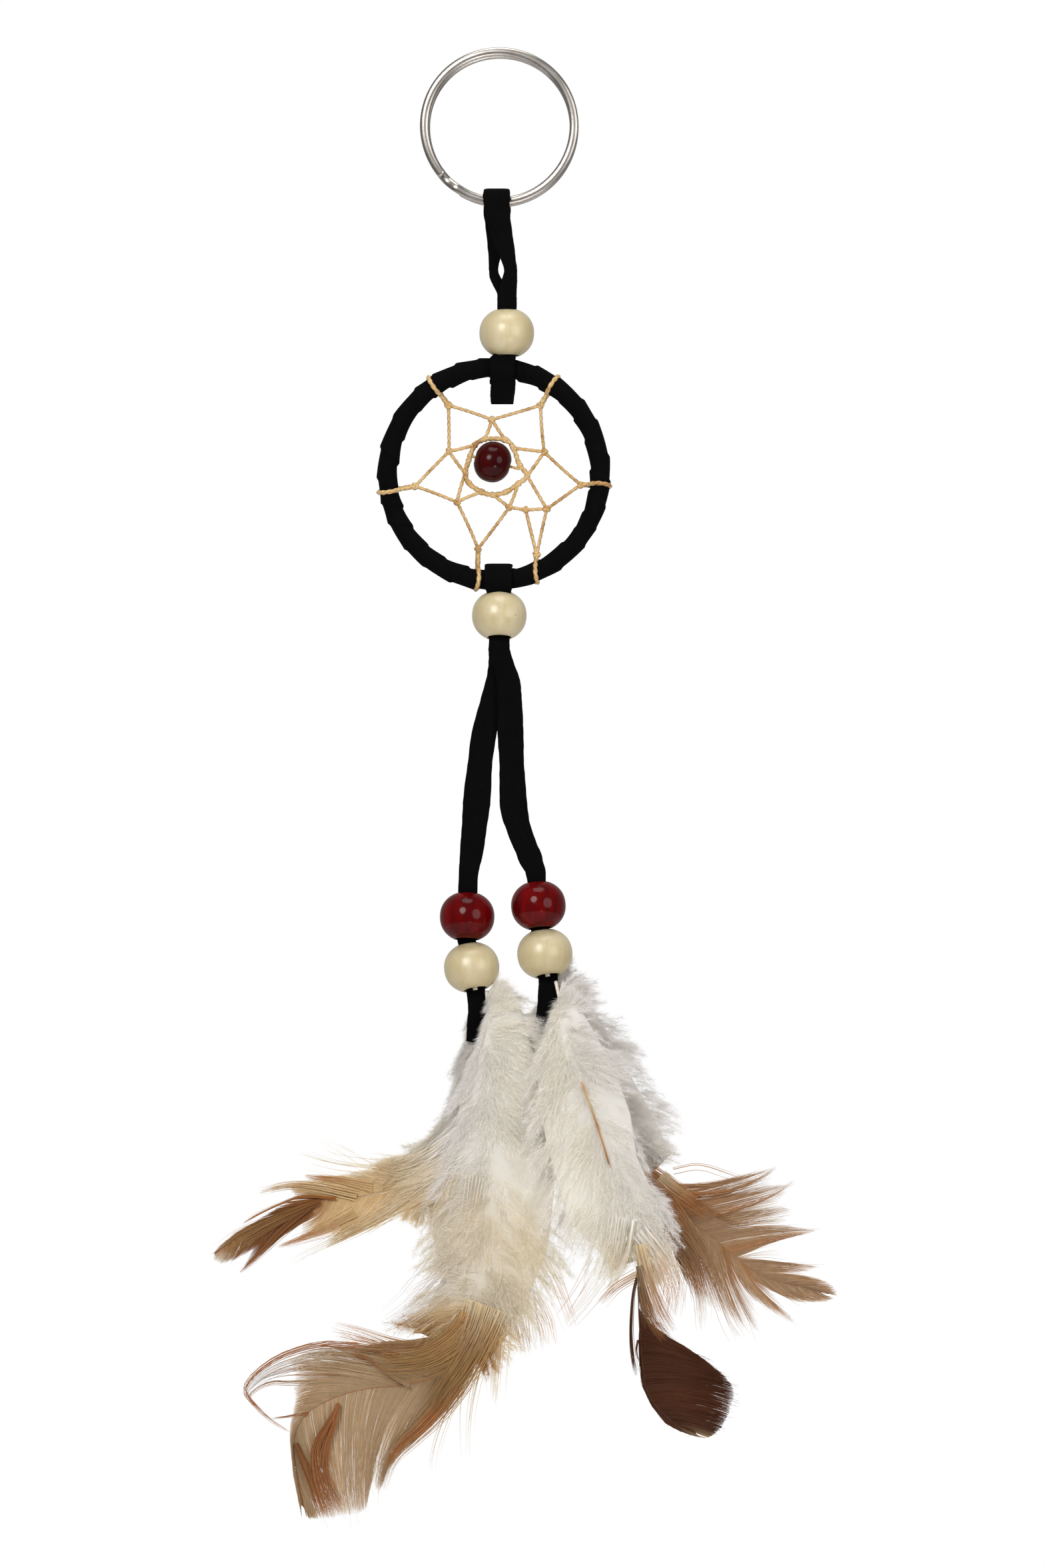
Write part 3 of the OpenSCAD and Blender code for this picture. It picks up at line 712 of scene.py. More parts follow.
def tie_round_tube(angle, tie):
    """The doubled, twisted thread that goes round the hoop and down to its knot."""
    a = math.radians(angle)
    out = np.array([math.cos(a), 0, math.sin(a)])
    away = np.array([0, 1, 0])
    knot_at = on_hoop(tie)
    centre = on_hoop((HOOP_R * out[0], HOOP_R * out[2]))
    along = unit(np.cross(out, away))
    r = TUBE_R + 0.08
    parts = []
    toward = unit(knot_at - centre)
    inner = centre + toward * (TUBE_R + 1.0)
    for side, lean in ((-1, 0.5), (1, -0.5)):
        loop = []
        for share in np.linspace(0, 1, 12):
            b = math.radians(165) * share
            heading = unit(out * (1 - share) - toward * share)
            loop.append(centre + heading * r * math.cos(b) + away * side * r * math.sin(b)
                        + along * lean * math.sin(b) * 0.6)
        approach = inner + away * side * 0.5 + along * lean * 0.2
        path = loop + [approach, (approach + knot_at) / 2 + away * side * 0.1, knot_at + away * side * 0.12]
        parts.append(twisted(smooth_line(path, 5), TIE_T, 2.6, up=along))
    gap = np.linalg.norm(knot_at - inner)
    if gap > 1.5:
        parts.append(twisted(np.linspace(inner, knot_at, 20), COIL_THREAD_T, 1.9))
    return parts


def web_piece(name, parts, node):
    """Threads joined to one piece on the hoop, in place of their CAD node."""
    place(mesh_object(name, *joined(parts), THREAD), "hoop", "waxed_thread", node)


def web():
    """The whole web: ties round the hoop, two rounds of threads, the wound centre loop and the knots."""
    rng = np.random.default_rng(31)
    ties = [on_hoop(p) for p in TIES]
    outer = [on_hoop(p) for p in OUTER]
    loop = [on_hoop(p) for p in LOOP]
    anchor = [part for angle, tie in zip(TIE_ANGLES, TIES) for part in tie_round_tube(angle, tie)]
    web_piece("web_tie_threads", anchor, "web_anchor_ties")
    lines = [(ties[i], outer[k]) for i, k in TIE_TO_OUTER]
    lines += [(ties[3], outer[6]), (outer[3], outer[6]), (outer[6], outer[2])]
    web_piece("web_outer_ring_threads", [thread_between(a, b, rng) for a, b in lines], "web_outer_threads")
    inner = [thread_between(outer[i], loop[k], rng) for i, k in OUTER_TO_LOOP]
    web_piece("web_inner_ring_threads", inner, "web_inner_threads")
    ring = smooth_line(np.vstack([loop, loop[:1]]), 8)[:-1]
    spiral = twisted(ring, COIL_THREAD_T, 2.2, 14, closed=True)
    tilt = math.radians(WEB_BEAD_TILT)
    axis = np.array([math.cos(tilt), 0, -math.sin(tilt)])
    middle = on_hoop(WEB_BEAD_AT)
    through = twisted(np.linspace(middle - axis * 5, middle + axis * 5.3, 40), BEAD_THREAD_T, 2.4)
    web_piece("web_centre_ring_thread", [spiral, through], "web_centre_loop")
    knots = []
    for places, size in zip((ties, outer, loop), KNOT_SIZES):
        for at in np.repeat(places, 2, axis=0):
            knots.append(knot(at + rng.normal(0, 0.06, 3), size, rng.uniform(0, 6.28), rng))
    web_piece("web_thread_knots", knots, "web_knots")


# ---------------------------------------------------------------- feathers
# Colours, linear
WHITE = np.array([0.985, 0.972, 0.945])
CREAM = np.array([0.93, 0.88, 0.78])
GREY = np.array([0.92, 0.9, 0.89])
MIST = np.array([0.9, 0.87, 0.88])
WARM = np.array([0.985, 0.97, 0.92])
COOL = np.array([0.955, 0.945, 0.93])
TAN = np.array([0.76, 0.57, 0.3])
SAND = np.array([0.85, 0.71, 0.47])
FAWN = np.array([0.62, 0.44, 0.255])
GOLD = np.array([0.5, 0.3, 0.12])
UMBER = np.array([0.27, 0.115, 0.04])
CLAY = np.array([0.53, 0.34, 0.19])
BROWN = np.array([0.29, 0.115, 0.028])
RUST = np.array([0.38, 0.18, 0.065])
CHOCOLATE = np.array([0.082, 0.022, 0.005])
BARK = np.array([0.13, 0.05, 0.02])

# Shafts are (x, y, z) from the quill to the tip. A guide is (place along the shaft, control x, control z,
# tip x, tip z): barbs between two guides are blended from them. A streak is (side, place, spread, colour).
# A wisp is (route of (x, z), y, count, spread at its start and end, colour at its start and end).
LEFT_UPPER = dict(
    shaft=[(-4.3, 1.75, -164.1), (-4.6, 2.6, -167.5), (-5, 3.6, -172), (-5.6, 3.6, -179), (-7.5, 3.6, -187),
        (-12, 3.6, -195), (-19, 3.6, -200.8), (-26, 3.6, -202.4), (-34, 3.6, -203), (-42, 3.6, -206.8),
        (-49, 3.6, -210), (-54, 3.6, -213.3)],
    shaft_tone=[(0, CREAM), (6, CREAM), (7.2, BROWN), (11, BROWN)],
    down=dict(
        left=[(0.6, -4.7, -168.4, -5.2, -173), (1.6, -6.2, -173.4, -8, -179), (3, -8.2, -180, -9.6, -186.5),
            (4, -10.5, -187.5, -14, -194), (5, -16, -192.8, -21, -195.8), (5.8, -21, -196.4, -27, -197.4)],
        right=[(0.6, -2.6, -169, -0.4, -171.5), (1.6, -1, -174, 3, -180), (3, 0, -184, 4.5, -193),
            (4, -2, -193, 0.5, -204), (5, -9, -201, -9, -210), (5.8, -16.5, -204.5, -19, -208)],
        tones=[(0, WHITE), (3.6, WHITE), (5, CREAM), (5.8, SAND * 1.06)],
        tints=(COOL, WARM), depth=1.7, count=1250),
    vane=dict(
        left=[(5.2, -18, -197.8, -22, -196.6), (6, -22, -198.6, -27.6, -197.4),
            (6.6, -26, -199.6, -32.6, -198.8), (7, -29, -200.4, -37, -199),
            (7.4, -32.4, -201.2, -40.5, -200.6), (7.8, -35, -202.2, -39, -202.3),
            (8.2, -37.4, -203.4, -42, -204.4), (8.8, -41, -205.2, -46, -207),
            (9.6, -45.6, -207.4, -50.4, -209.6), (10.4, -50, -210, -53.2, -212),
            (11, -53.6, -212.4, -54.6, -213.6)],
        right=[(5.4, -18.4, -204.4, -21, -206.6), (6.2, -23, -205.6, -27.4, -208.6),
            (6.8, -27, -206.6, -32.6, -211.2), (7.1, -29, -206.4, -33, -208.6),
            (7.6, -32, -207, -38, -210.6), (7.8, -33.4, -206.4, -37.4, -207.4),
            (8.4, -38, -207.2, -42.6, -211.2), (8.8, -40.4, -208.4, -45.6, -214),
            (9, -42, -209, -49, -216.9), (9.2, -43.6, -209.4, -46.8, -212.6),
            (9.8, -47, -211.4, -50.8, -215), (10.4, -50.4, -212.6, -52.8, -215.4),
            (11, -53.8, -213.6, -54.4, -214.4)],
        tones=[(5.2, SAND * 1.05, SAND * 1.08), (6.2, TAN * 1.1, SAND), (7.5, TAN, TAN * 1.08),
            (8.1, BROWN * 1.6, UMBER * 1.5), (8.6, BROWN, UMBER), (9.8, BROWN, UMBER * 1.5),
            (10.4, BROWN * 1.5, TAN * 0.8), (11, RUST * 1.4, CREAM)],
        clump=0.05, groups=12, count=1300, width=0.1, cup=0.8, ragged=0.13),
    wisps=[
        ([(-24, -200.6), (-30.7, -199.3), (-37, -198.6)], 3.2, 40, 0.5, 0.12, TAN, RUST * 1.5),
        ([(-27, -202.2), (-34.4, -200.6), (-39.9, -200.3), (-45.5, -201.5)], 3.1, 45, 0.5, 0.35, TAN, FAWN),
        ([(-31, -202.9), (-37.3, -202.5), (-41.8, -204), (-46.2, -206.1), (-48.6, -207.6)], 3, 26, 0.1, 0.12,
         BROWN * 1.5, RUST * 1.4),
        ([(-34, -203.3), (-39, -205.4), (-44, -207.6), (-49, -210.4), (-53, -213.6)], 3, 90, 0.25, 1.1,
         BROWN, GOLD),
        ([(-36, -204.6), (-40.6, -208.4), (-44.6, -212.4), (-49.2, -217)], 2.9, 50, 0.5, 0.2, UMBER,
         UMBER * 1.6),
        ([(-27, -206), (-32, -208.4), (-37, -210.2), (-42, -212)], 3.1, 50, 0.7, 0.2, TAN * 0.95, RUST * 1.5),
        ([(-18, -203.6), (-24, -207), (-28.6, -209.6), (-33, -211.9)], 3.2, 60, 0.9, 0.3, SAND, TAN * 0.85),
        ([(-17, -202), (-22, -206), (-26, -209)], 3.3, 50, 1, 0.6, CREAM, TAN),
        ([(-15, -198.6), (-23, -197.4), (-31, -196.6), (-38.6, -194.6)], 3.5, 14, 1, 1.1, CREAM, SAND),
        ([(-17, -198.4), (-24, -196.6), (-29, -193.6), (-34.4, -190.4)], 3.8, 6, 0.8, 0.9, CREAM, SAND),
        ([(-13, -198), (-19, -197.4), (-25, -196.4)], 3.2, 60, 1.3, 1.1, CREAM, SAND),
        ([(-26, -208), (-33, -211.6), (-39.6, -215.2)], 4, 8, 1, 0.7, SAND, CREAM),
        ([(-9, -196), (-14, -200), (-21, -202.6)], 2.2, 150, 2.2, 2, WHITE, SAND)])

LEFT_LOWER = dict(
    shaft=[(-2.4, 0.1, -163.4), (-2, -0.6, -167.5), (-2.2, -1.9, -173), (-2, -1.9, -182), (-1.4, -1.9, -193),
        (-1.6, -1.9, -205), (-2.8, -1.9, -218), (-4.9, -1.9, -226), (-7.9, -1.9, -233),
        (-12.7, -1.9, -236.4), (-18.2, -1.9, -237.8), (-25, -1.9, -238.5), (-30.6, -1.9, -240),
        (-35.6, -1.9, -242.6), (-38, -1.9, -245.7), (-38.7, -1.9, -249.6), (-37.9, -1.9, -256),
        (-36.4, -1.9, -262.6)],
    shaft_tone=[(0, CREAM), (7, CREAM), (8.4, BROWN * 1.2), (17, BROWN * 0.8)],
    down=dict(
        left=[(0.2, -1.8, -163.6, -2, -165.6), (1, -2.1, -169, -2.6, -172), (1.4, -3, -173, -5, -177.5),
            (2, -5, -176, -8, -182), (3, -7, -184, -11, -192), (4, -10, -196, -15.5, -205),
            (5, -12, -206, -17.6, -213.5), (6, -9.5, -216, -15.8, -220.4), (6.8, -12, -223.5, -21, -226.8),
            (7.4, -14, -227, -23, -229)],
        right=[(0.2, -0.9, -161.8, 0, -159.6), (0.7, 0.6, -162.6, 2.4, -163.6), (1.2, 3, -165, 7.4, -166.6),
            (2, 5, -174, 11.6, -176), (3, 7, -186, 14.5, -191), (4, 9, -199, 16.6, -206),
            (5, 8, -210, 14.6, -217.5), (6, 4, -220, 9, -227.5), (6.8, 0, -228.4, 3, -234),
            (7.6, -4.4, -234, -4, -240)],
        tones=[(0, WHITE), (4, WHITE), (5, CREAM), (6.3, CREAM * 0.96), (6.8, SAND), (7.3, GOLD * 1.2)],
        tints=(COOL, WARM), depth=2.1, count=1850),
    vane=dict(
        left=[(6.6, -9, -228, -16, -230.6), (7.2, -14, -230, -22.5, -229.6), (8, -20, -231, -28.3, -230.9),
            (8.6, -23.6, -231.6, -33, -230.4), (9.2, -26.4, -232.6, -38, -231.6),
            (9.7, -28.6, -234, -40.4, -233.4), (10.2, -30.6, -235, -38.8, -235.2),
            (10.9, -32.6, -236.6, -38.9, -238.4), (11.6, -34.4, -238.6, -38.6, -240.2),
            (12.4, -36.2, -240.8, -38.8, -242), (13.4, -38.1, -244, -39.6, -245.4),
            (14.2, -39, -246.6, -39.6, -248.2), (15.5, -39, -252, -38.9, -255),
            (16.8, -38, -259, -37.3, -262.8)],
        right=[(6.8, -7, -237, -8.6, -241.5), (7.4, -9.5, -241.5, -13, -246),
            (8.2, -14, -243.5, -18.6, -250.8), (8.8, -19, -246, -21.6, -254.6),
            (9.4, -21.6, -246.5, -22.8, -258.4), (9.6, -23.6, -247, -24.4, -256),
            (10.3, -25.4, -247.5, -25.2, -261.2), (11, -28, -248, -26.6, -262.4),
            (12, -31.4, -248.5, -28.8, -262.8), (13, -34.6, -249.8, -30.8, -263),
            (14, -36.8, -252, -32.6, -263.2), (15, -37.6, -255.6, -34.4, -263.2),
            (16.6, -37, -260.4, -36, -263)],
        tones=[(6.6, GOLD, GOLD * 1.1), (7.4, GOLD * 0.9, FAWN * 0.8), (8.6, FAWN * 0.8, FAWN * 0.9),
            (9.6, FAWN * 0.88, FAWN * 0.97), (12, FAWN * 0.94, FAWN * 1.05), (13.4, FAWN * 0.92, FAWN),
            (14.4, FAWN * 0.7, FAWN * 0.9), (17, UMBER * 1.4, FAWN * 0.9)],
        streaks=[("right", 7.9, 0.3, UMBER * 1.3), ("left", 7.6, 0.3, UMBER * 1.6)],
        clump=0.03, groups=14, count=2300, width=0.08, cup=1.4, ragged=0.06),
    wisps=[
        ([(-19, -232.6), (-25, -231), (-32.8, -230.3), (-37.3, -231.2), (-41.1, -232.5), (-44.3, -234.4),
         (-46.9, -236.7), (-47.9, -239), (-46, -241.5), (-43.7, -243.8), (-41.1, -245.7), (-39.2, -246.8)],
         -2.6, 16, 0.5, 0.1, UMBER * 1.5, UMBER * 1.8),
        ([(-24, -233), (-33, -232), (-39.5, -233.4), (-43.6, -235.2), (-46.6, -237.6), (-47.7, -239.6),
         (-46.4, -241.6)], -2.4, 14, 0.8, 0.12, FAWN * 0.8, GREY * 0.7),
        ([(-30, -234.6), (-37.5, -234.9), (-41.1, -235.4), (-44.3, -236.5), (-47, -238.6)], -2.3, 13, 0.6,
         0.18, UMBER * 1.6, GREY * 0.6),
        ([(-34, -237), (-39.8, -237.3), (-42.4, -237.2), (-45, -238), (-47.2, -239.9), (-46, -241.6),
         (-43.9, -243.6)], -2.2, 10, 0.35, 0.1, FAWN * 0.8, UMBER * 1.6),
        ([(-36, -243), (-38.2, -243.4), (-40.5, -243.8), (-43, -244.1)], -2.2, 12, 0.25, 0.1, UMBER * 1.6,
         UMBER * 1.3),
        ([(-14, -231), (-20, -229.8), (-27, -227.6), (-31.8, -226.4)], -1.4, 16, 1, 0.8, GOLD, UMBER * 2.2),
        ([(-16, -231.6), (-22, -230.6), (-27.6, -229.4), (-31, -228.6)], -1.6, 20, 0.8, 0.7, GOLD, UMBER * 2),
        ([(-17, -238), (-21.2, -235.4), (-24.4, -233.1), (-28.3, -231.4)], -3, 34, 0.2, 0.35, FAWN * 0.8,
         UMBER * 1.6),
        ([(-5, -231), (-8, -237), (-12.4, -243), (-17, -247.6), (-20.8, -251.8), (-22.6, -257.6)], -2.6, 130,
         1.2, 0.5, GOLD, FAWN * 0.8),
        ([(-8, -238), (-14, -245.2), (-18.6, -249.2), (-21.6, -254)], -3, 50, 0.8, 0.4, UMBER * 2, UMBER * 2),
        ([(-30.2, -241.2), (-32, -244.6), (-34.4, -249), (-34.6, -253), (-33.4, -258), (-30.6, -262.4)],
         -3.2, 70, 0.15, 0.9, UMBER * 1.4, UMBER * 1.7),
        ([(-30.4, -241.2), (-31.2, -245), (-32.6, -249.4), (-32.8, -254), (-31.4, -258), (-29.4, -260.6)],
         -3.2, 50, 0.15, 0.5, UMBER * 1.8, UMBER * 1.5),
        ([(-38.4, -248.8), (-37.2, -252), (-35.4, -256), (-33.8, -260), (-32.6, -263)], -2.8, 60, 0.2, 0.8,
         UMBER, UMBER * 1.9),
        ([(-8, -198), (-11, -204.5), (-13.4, -209.8)], -3.6, 14, 0.9, 0.8, SAND, TAN * 0.8),
        ([(-3.6, -198.5), (-4.6, -204), (-5.4, -208.5)], -4.4, 10, 1.2, 0.8, CREAM, TAN),
        ([(-5, -193), (-12, -197), (-20, -200)], -3.2, 60, 2.4, 1.6, WHITE, SAND),
        ([(-7, -197), (-13, -201), (-20, -205.4)], -3, 60, 2, 1.6, WHITE, TAN),
        ([(-6, -214), (-11, -219), (-16, -223.4), (-22, -227)], -2.6, 60, 2.6, 1.2, MIST, MIST * 0.9),
        ([(-4.4, -226), (-9, -230.6), (-15, -233.4), (-24, -234)], -3.6, 130, 1.5, 1.2, GOLD * 1.2,
         GOLD * 0.9),
        ([(-3, -225), (-5.6, -231.6), (-9.6, -237.6), (-13, -243)], -3.6, 150, 1.8, 1.3, GOLD * 1.2,
         GOLD * 0.75),
        ([(-2.6, -222.6), (-4.6, -228), (-8, -234)], -4, 90, 1.8, 1.4, SAND, GOLD * 0.8),
        ([(-6, -219), (-10, -217.6), (-15, -219.6), (-17.5, -221.4)], -3.6, 6, 1.5, 0.8, CREAM, FAWN),
        ([(-3.5, -232), (-5.4, -240), (-6, -246), (-6, -252)], -1.2, 8, 0.9, 0.8, TAN, CREAM),
        ([(-7, -238), (-9.6, -244), (-11.5, -250), (-12, -255)], -1.4, 7, 0.9, 0.9, TAN, CREAM),
        ([(0, -226), (-0.6, -234), (-1, -242)], -1.2, 22, 1.2, 0.9, TAN, SAND),
        ([(6, -221), (8.6, -225.6), (9.6, -230.6)], -1.2, 18, 1.8, 1, CREAM, UMBER * 2.5),
        ([(2, -217), (4.2, -225), (5.4, -232)], -2.6, 50, 2.2, 1.4, CREAM, GOLD * 1.1),
        ([(8, -214), (11, -220), (14, -227)], -1.6, 12, 1.6, 1, CREAM, UMBER * 2.5)])

RIGHT_UPPER = dict(
    shaft=[(9.25, 0.45, -161.7), (10, 2, -165), (11.6, 6, -170.5), (14, 7.4, -177), (18, 7.4, -185),
        (24, 7.4, -195), (29, 7.4, -201.2), (34.4, 7.4, -206.2), (39.6, 7.4, -209.6), (43.9, 7.4, -213.4),
        (47.4, 7.4, -216.2), (50.6, 7.4, -218), (54.4, 7.4, -219.2), (58.5, 7.4, -220.1),
        (62.6, 7.4, -221.2)],
    shaft_tone=[(0, CREAM), (5, CREAM), (6.5, RUST), (14, BROWN)],
    down=dict(
        left=[(0.6, 8, -165, 6, -168.5), (1.6, 7, -171, 4.5, -178), (3, 8.5, -183, 6.5, -192),
            (4, 11.5, -193, 9.5, -204), (5, 17.5, -203, 16, -214), (5.8, 23, -208, 22, -218)],
        right=[(0.6, 11.5, -160.5, 13.6, -157), (1.4, 14.5, -163.5, 19.2, -163.8),
            (2.2, 18, -168, 24, -170.4), (3, 21, -174.5, 28, -177), (3.8, 25, -181, 32, -184),
            (4.6, 28.5, -187, 34.8, -190), (5.3, 31.6, -193.4, 36, -195.6)],
        tones=[(0, WHITE), (5, WHITE), (5.8, CREAM)],
        tints=(COOL, COOL), depth=1.7, count=1400),
    vane=dict(
        left=[(6, 31, -208, 33.6, -214), (6.6, 33.4, -211.4, 35.4, -219), (7.2, 36, -214, 38.2, -223),
            (7.8, 39, -216, 43.2, -225.5), (8.4, 41.8, -218, 46.8, -228), (8.7, 43.8, -218.6, 49.7, -228.8),
            (8.8, 44.4, -217.6, 48.8, -222.6), (9.2, 46.4, -219.6, 53.6, -225.8),
            (9.7, 48.2, -220.6, 56.8, -227.2), (9.8, 48.6, -218.8, 51.6, -220.6),
            (10.8, 51.6, -220.4, 56.4, -222.8), (12, 55.6, -221.4, 60.4, -222.8),
            (13, 59.4, -221.8, 62.4, -222.6), (13.6, 62, -221.8, 63.8, -222)],
        right=[(5.6, 36, -201.4, 44, -200.6), (6.1, 40, -202, 52.5, -197.1), (6.5, 42, -203.4, 52.1, -200.3),
            (6.9, 43.6, -204.2, 55.8, -200.4), (7.3, 44.6, -205.8, 53, -204.4),
            (7.8, 46.6, -206.9, 56.2, -205.1), (8, 47, -208, 54.4, -208), (8.5, 49.5, -209.4, 61.4, -209),
            (9, 50, -211.4, 57, -210), (9.3, 49.6, -212.2, 53.6, -210.6), (9.34, 50.4, -214.6, 54.6, -215.2),
            (9.7, 52, -215, 61.8, -216), (10.4, 54, -216.6, 58, -217), (10.5, 54.6, -217, 60.6, -218.2),
            (11.6, 57.4, -218.4, 63, -218.9), (12.8, 60.4, -220, 64, -220.4),
            (13.6, 62.6, -221, 64.4, -221.6)],
        tones=[(5.6, RUST * 1.25, CLAY), (6.4, RUST * 1.2, CLAY), (7.4, CLAY * 0.9, CLAY * 1.05),
            (8.6, CLAY * 0.95, CLAY * 1.1), (13, CLAY * 0.8, CLAY * 1.15)],
        streaks=[("left", 8.7, 0.2, RUST * 1.2), ("left", 9.7, 0.2, RUST * 1.3),
            ("right", 8.9, 0.2, RUST * 1.3)],
        clump=0.04, groups=12, count=1250, width=0.085, cup=1.2, ragged=0.14),
    wisps=[
        ([(33, -197.6), (38, -196.8), (44, -198.6), (48, -200)], 6.6, 4, 0.5, 0.6, CLAY, CLAY),
        ([(34, -202.4), (41.7, -202), (45.7, -200.9), (49.7, -199.1), (52.7, -196.9)], 6.4, 16, 0.35, 0.15,
         RUST * 1.2, CLAY * 0.9),
        ([(36, -203), (43, -207), (47, -208), (52, -205.6)], 6.2, 9, 0.6, 0.8, RUST, CLAY),
        ([(41, -206.4), (47.7, -204.3), (52, -202.4), (56.4, -199.6)], 6.3, 10, 0.3, 0.3, RUST * 1.3, CLAY),
        ([(33, -206), (35, -214), (38, -221), (38.6, -228)], 6.2, 22, 1, 0.8, CLAY * 0.9, CLAY * 1.3),
        ([(30, -206), (31.5, -213), (32.6, -219), (31.8, -224)], 6, 20, 1.2, 0.9, RUST * 1.4, CLAY * 1.3),
        ([(37, -211), (41, -219), (43.6, -226), (46, -230)], 6.6, 12, 1, 0.9, CLAY, CLAY * 1.2),
        ([(28.6, -198.4), (31.6, -200.6), (35.4, -203.6), (40, -206.4)], 5.2, 110, 0.8, 0.9, RUST * 1.5,
         RUST * 1.15),
        ([(30.6, -198.6), (33.4, -201), (37.6, -203.8)], 4.9, 70, 0.6, 0.7, SAND * 0.9, RUST * 1.4),
        ([(24, -196), (28, -199.4), (32, -202.6)], 4.9, 60, 1.2, 0.9, WHITE, RUST * 1.5),
        ([(30, -204), (33.6, -209), (37, -213.6), (40, -219)], 5, 120, 1.4, 1.3, RUST * 1.3, CLAY * 0.9),
        ([(33, -208), (35, -213), (37, -217.6), (38, -222)], 5.4, 60, 1.4, 1.4, CLAY * 0.9, RUST * 1.3)])

RIGHT_LOWER = dict(
    shaft=[(10.7, -1.3, -161.6), (11.4, -2.6, -165), (12, -5.2, -170), (13.8, -5.6, -176),
        (15.6, -5.6, -180.6), (18.6, -5.6, -189), (21.3, -5.6, -197.6), (24.4, -5.6, -205.5),
        (25.8, -5.6, -211.5), (26.2, -5.6, -217), (26.3, -5.6, -223.7), (26.7, -5.6, -230.3),
        (27.6, -5.6, -237.7), (29.5, -5.6, -241.4), (33, -5.6, -244.6), (37, -5.6, -246.4)],
    shaft_tone=[(0, CREAM), (3.8, CREAM), (4.05, RUST * 1.5), (4.5, TAN * 0.8), (4.9, BROWN * 1.4),
        (5.2, RUST * 1.5), (5.7, BROWN * 1.2), (6.2, RUST * 1.6), (6.6, WHITE), (8, WHITE), (8.6, BARK),
        (15, CHOCOLATE)],
    proud=[(3.6, 0), (4.1, 2.1), (5.6, 2.1), (6.2, 0)],
    down=dict(
        left=[(0.8, 10.8, -165.4, 10.7, -168), (1.2, 10, -168, 8.8, -172.4), (2, 7.8, -174.6, 4.6, -180.4),
            (3, 8, -182, 4.4, -190), (4.5, 10, -190, 5.5, -201), (6, 13.5, -203, 9.5, -215),
            (7, 19, -209, 16.8, -219.5), (7.8, 22.4, -213.4, 20.6, -221.4)],
        right=[(0.8, 11.4, -162, 13, -159.6), (1.2, 12.8, -163.5, 15.4, -162.4), (2, 15.5, -168, 19, -168),
            (3, 20, -176, 25, -177.5), (4.4, 24, -185, 28.6, -189), (5.1, 26, -192, 28.4, -199),
            (6, 28.4, -199, 32.2, -205), (7, 30.4, -206, 34.2, -212), (7.8, 30, -212.4, 33, -219)],
        tones=[(0, WHITE), (6.6, WHITE), (7.8, CREAM)],
        tints=(WARM, COOL), depth=1.5, count=1500),
    vane=dict(
        left=[(10.5, 26.2, -230, 26.4, -233), (11.5, 26.6, -235.4, 27, -238),
            (12.3, 27.6, -239, 28.8, -241.6), (13, 29.4, -242.4, 31.4, -244.8),
            (13.6, 31, -244.4, 34, -246.2), (14.3, 33.6, -245.8, 37, -247.2), (15, 36.8, -247, 39, -247.5)],
        right=[(9.9, 28, -225.6, 31.2, -228.4), (10.3, 30, -227.6, 35, -230.2),
            (10.8, 32.4, -230.4, 39.4, -233), (11.3, 34.4, -232.8, 43.2, -236),
            (11.8, 35, -235.4, 44.4, -238.2), (12.3, 35.6, -238, 44.2, -241),
            (12.9, 36, -240.6, 43.4, -243.4), (13.5, 36.4, -243, 42.2, -245.4),
            (14.2, 37, -245.4, 40.6, -246.8), (15, 37.8, -246.8, 39.4, -247.4)],
        tones=[(9.9, BARK, BARK * 1.2), (10.5, CHOCOLATE * 1.1, CHOCOLATE * 1.3),
            (13, CHOCOLATE, CHOCOLATE * 1.2), (14, CHOCOLATE, BARK), (15, BARK, FAWN)],
        streaks=[("right", 12.6, 0.5, CHOCOLATE * 1.5)],
        clump=0.03, groups=14, count=2000, width=0.13, cup=1.2, ragged=0.035),
    wisps=[
        ([(26.2, -216), (25.3, -220), (24.95, -224), (24.85, -228), (25.1, -232), (25.9, -235.8)], -6.4, 50,
         0.1, 0.24, BARK, CHOCOLATE),
        ([(26.2, -229), (25.9, -231), (26.4, -233.4)], -6.2, 10, 0.08, 0.1, BARK, BARK),
        ([(26, -216.6), (22, -219), (18.6, -222.4)], -6.8, 16, 0.5, 0.5, FAWN, RUST * 1.3),
        ([(20, -215), (16, -221), (12, -226)], -6.2, 12, 1.8, 1, CREAM, CLAY),
        ([(26.4, -211), (27.6, -216), (29.6, -222), (32.6, -227.6)], -6.8, 70, 0.6, 0.9, SAND, UMBER * 1.6),
        ([(26.4, -215), (27.2, -220), (28.8, -225), (32, -229)], -6.6, 70, 0.3, 0.8, FAWN * 0.6, UMBER * 1.3),
        ([(26.4, -219), (27, -223), (28, -227)], -6.4, 40, 0.2, 0.5, FAWN * 0.5, BARK * 1.3),
        ([(28, -208), (30.6, -214), (33, -220), (32.6, -225)], -6.6, 26, 1, 1, CREAM, RUST * 1.7),
        ([(24, -206), (23, -212), (21.6, -217)], -7.6, 26, 1.5, 1.4, WHITE, SAND),
        ([(27, -208), (31, -213), (34.6, -217.6)], -6.8, 26, 1.2, 1.2, WHITE, SAND)])

FEATHERS = {"left_upper": LEFT_UPPER, "left_lower": LEFT_LOWER, "right_upper": RIGHT_UPPER,
            "right_lower": RIGHT_LOWER}


SIDES = ("left", "right")
OUTLINE_STEPS = 90   # along each side of a vane
STRAY_SHARE = 0.025   # of the vane's barbs that stand out of it
WISP_WIDTH = 0.12
DOWN_WIDTH = 0.1
BARBULE_WIDTH = 0.06


def shaft_curve(shaft):
    """The shaft as a fine line, and a function that gives its points at places counted in stations."""
    line = smooth_line(shaft, 10)
    places = np.linspace(0, len(shaft) - 1, len(line))

    def at(s):
        return np.stack([np.interp(s, places, line[:, k]) for k in range(3)], -1)

    return line, places, at


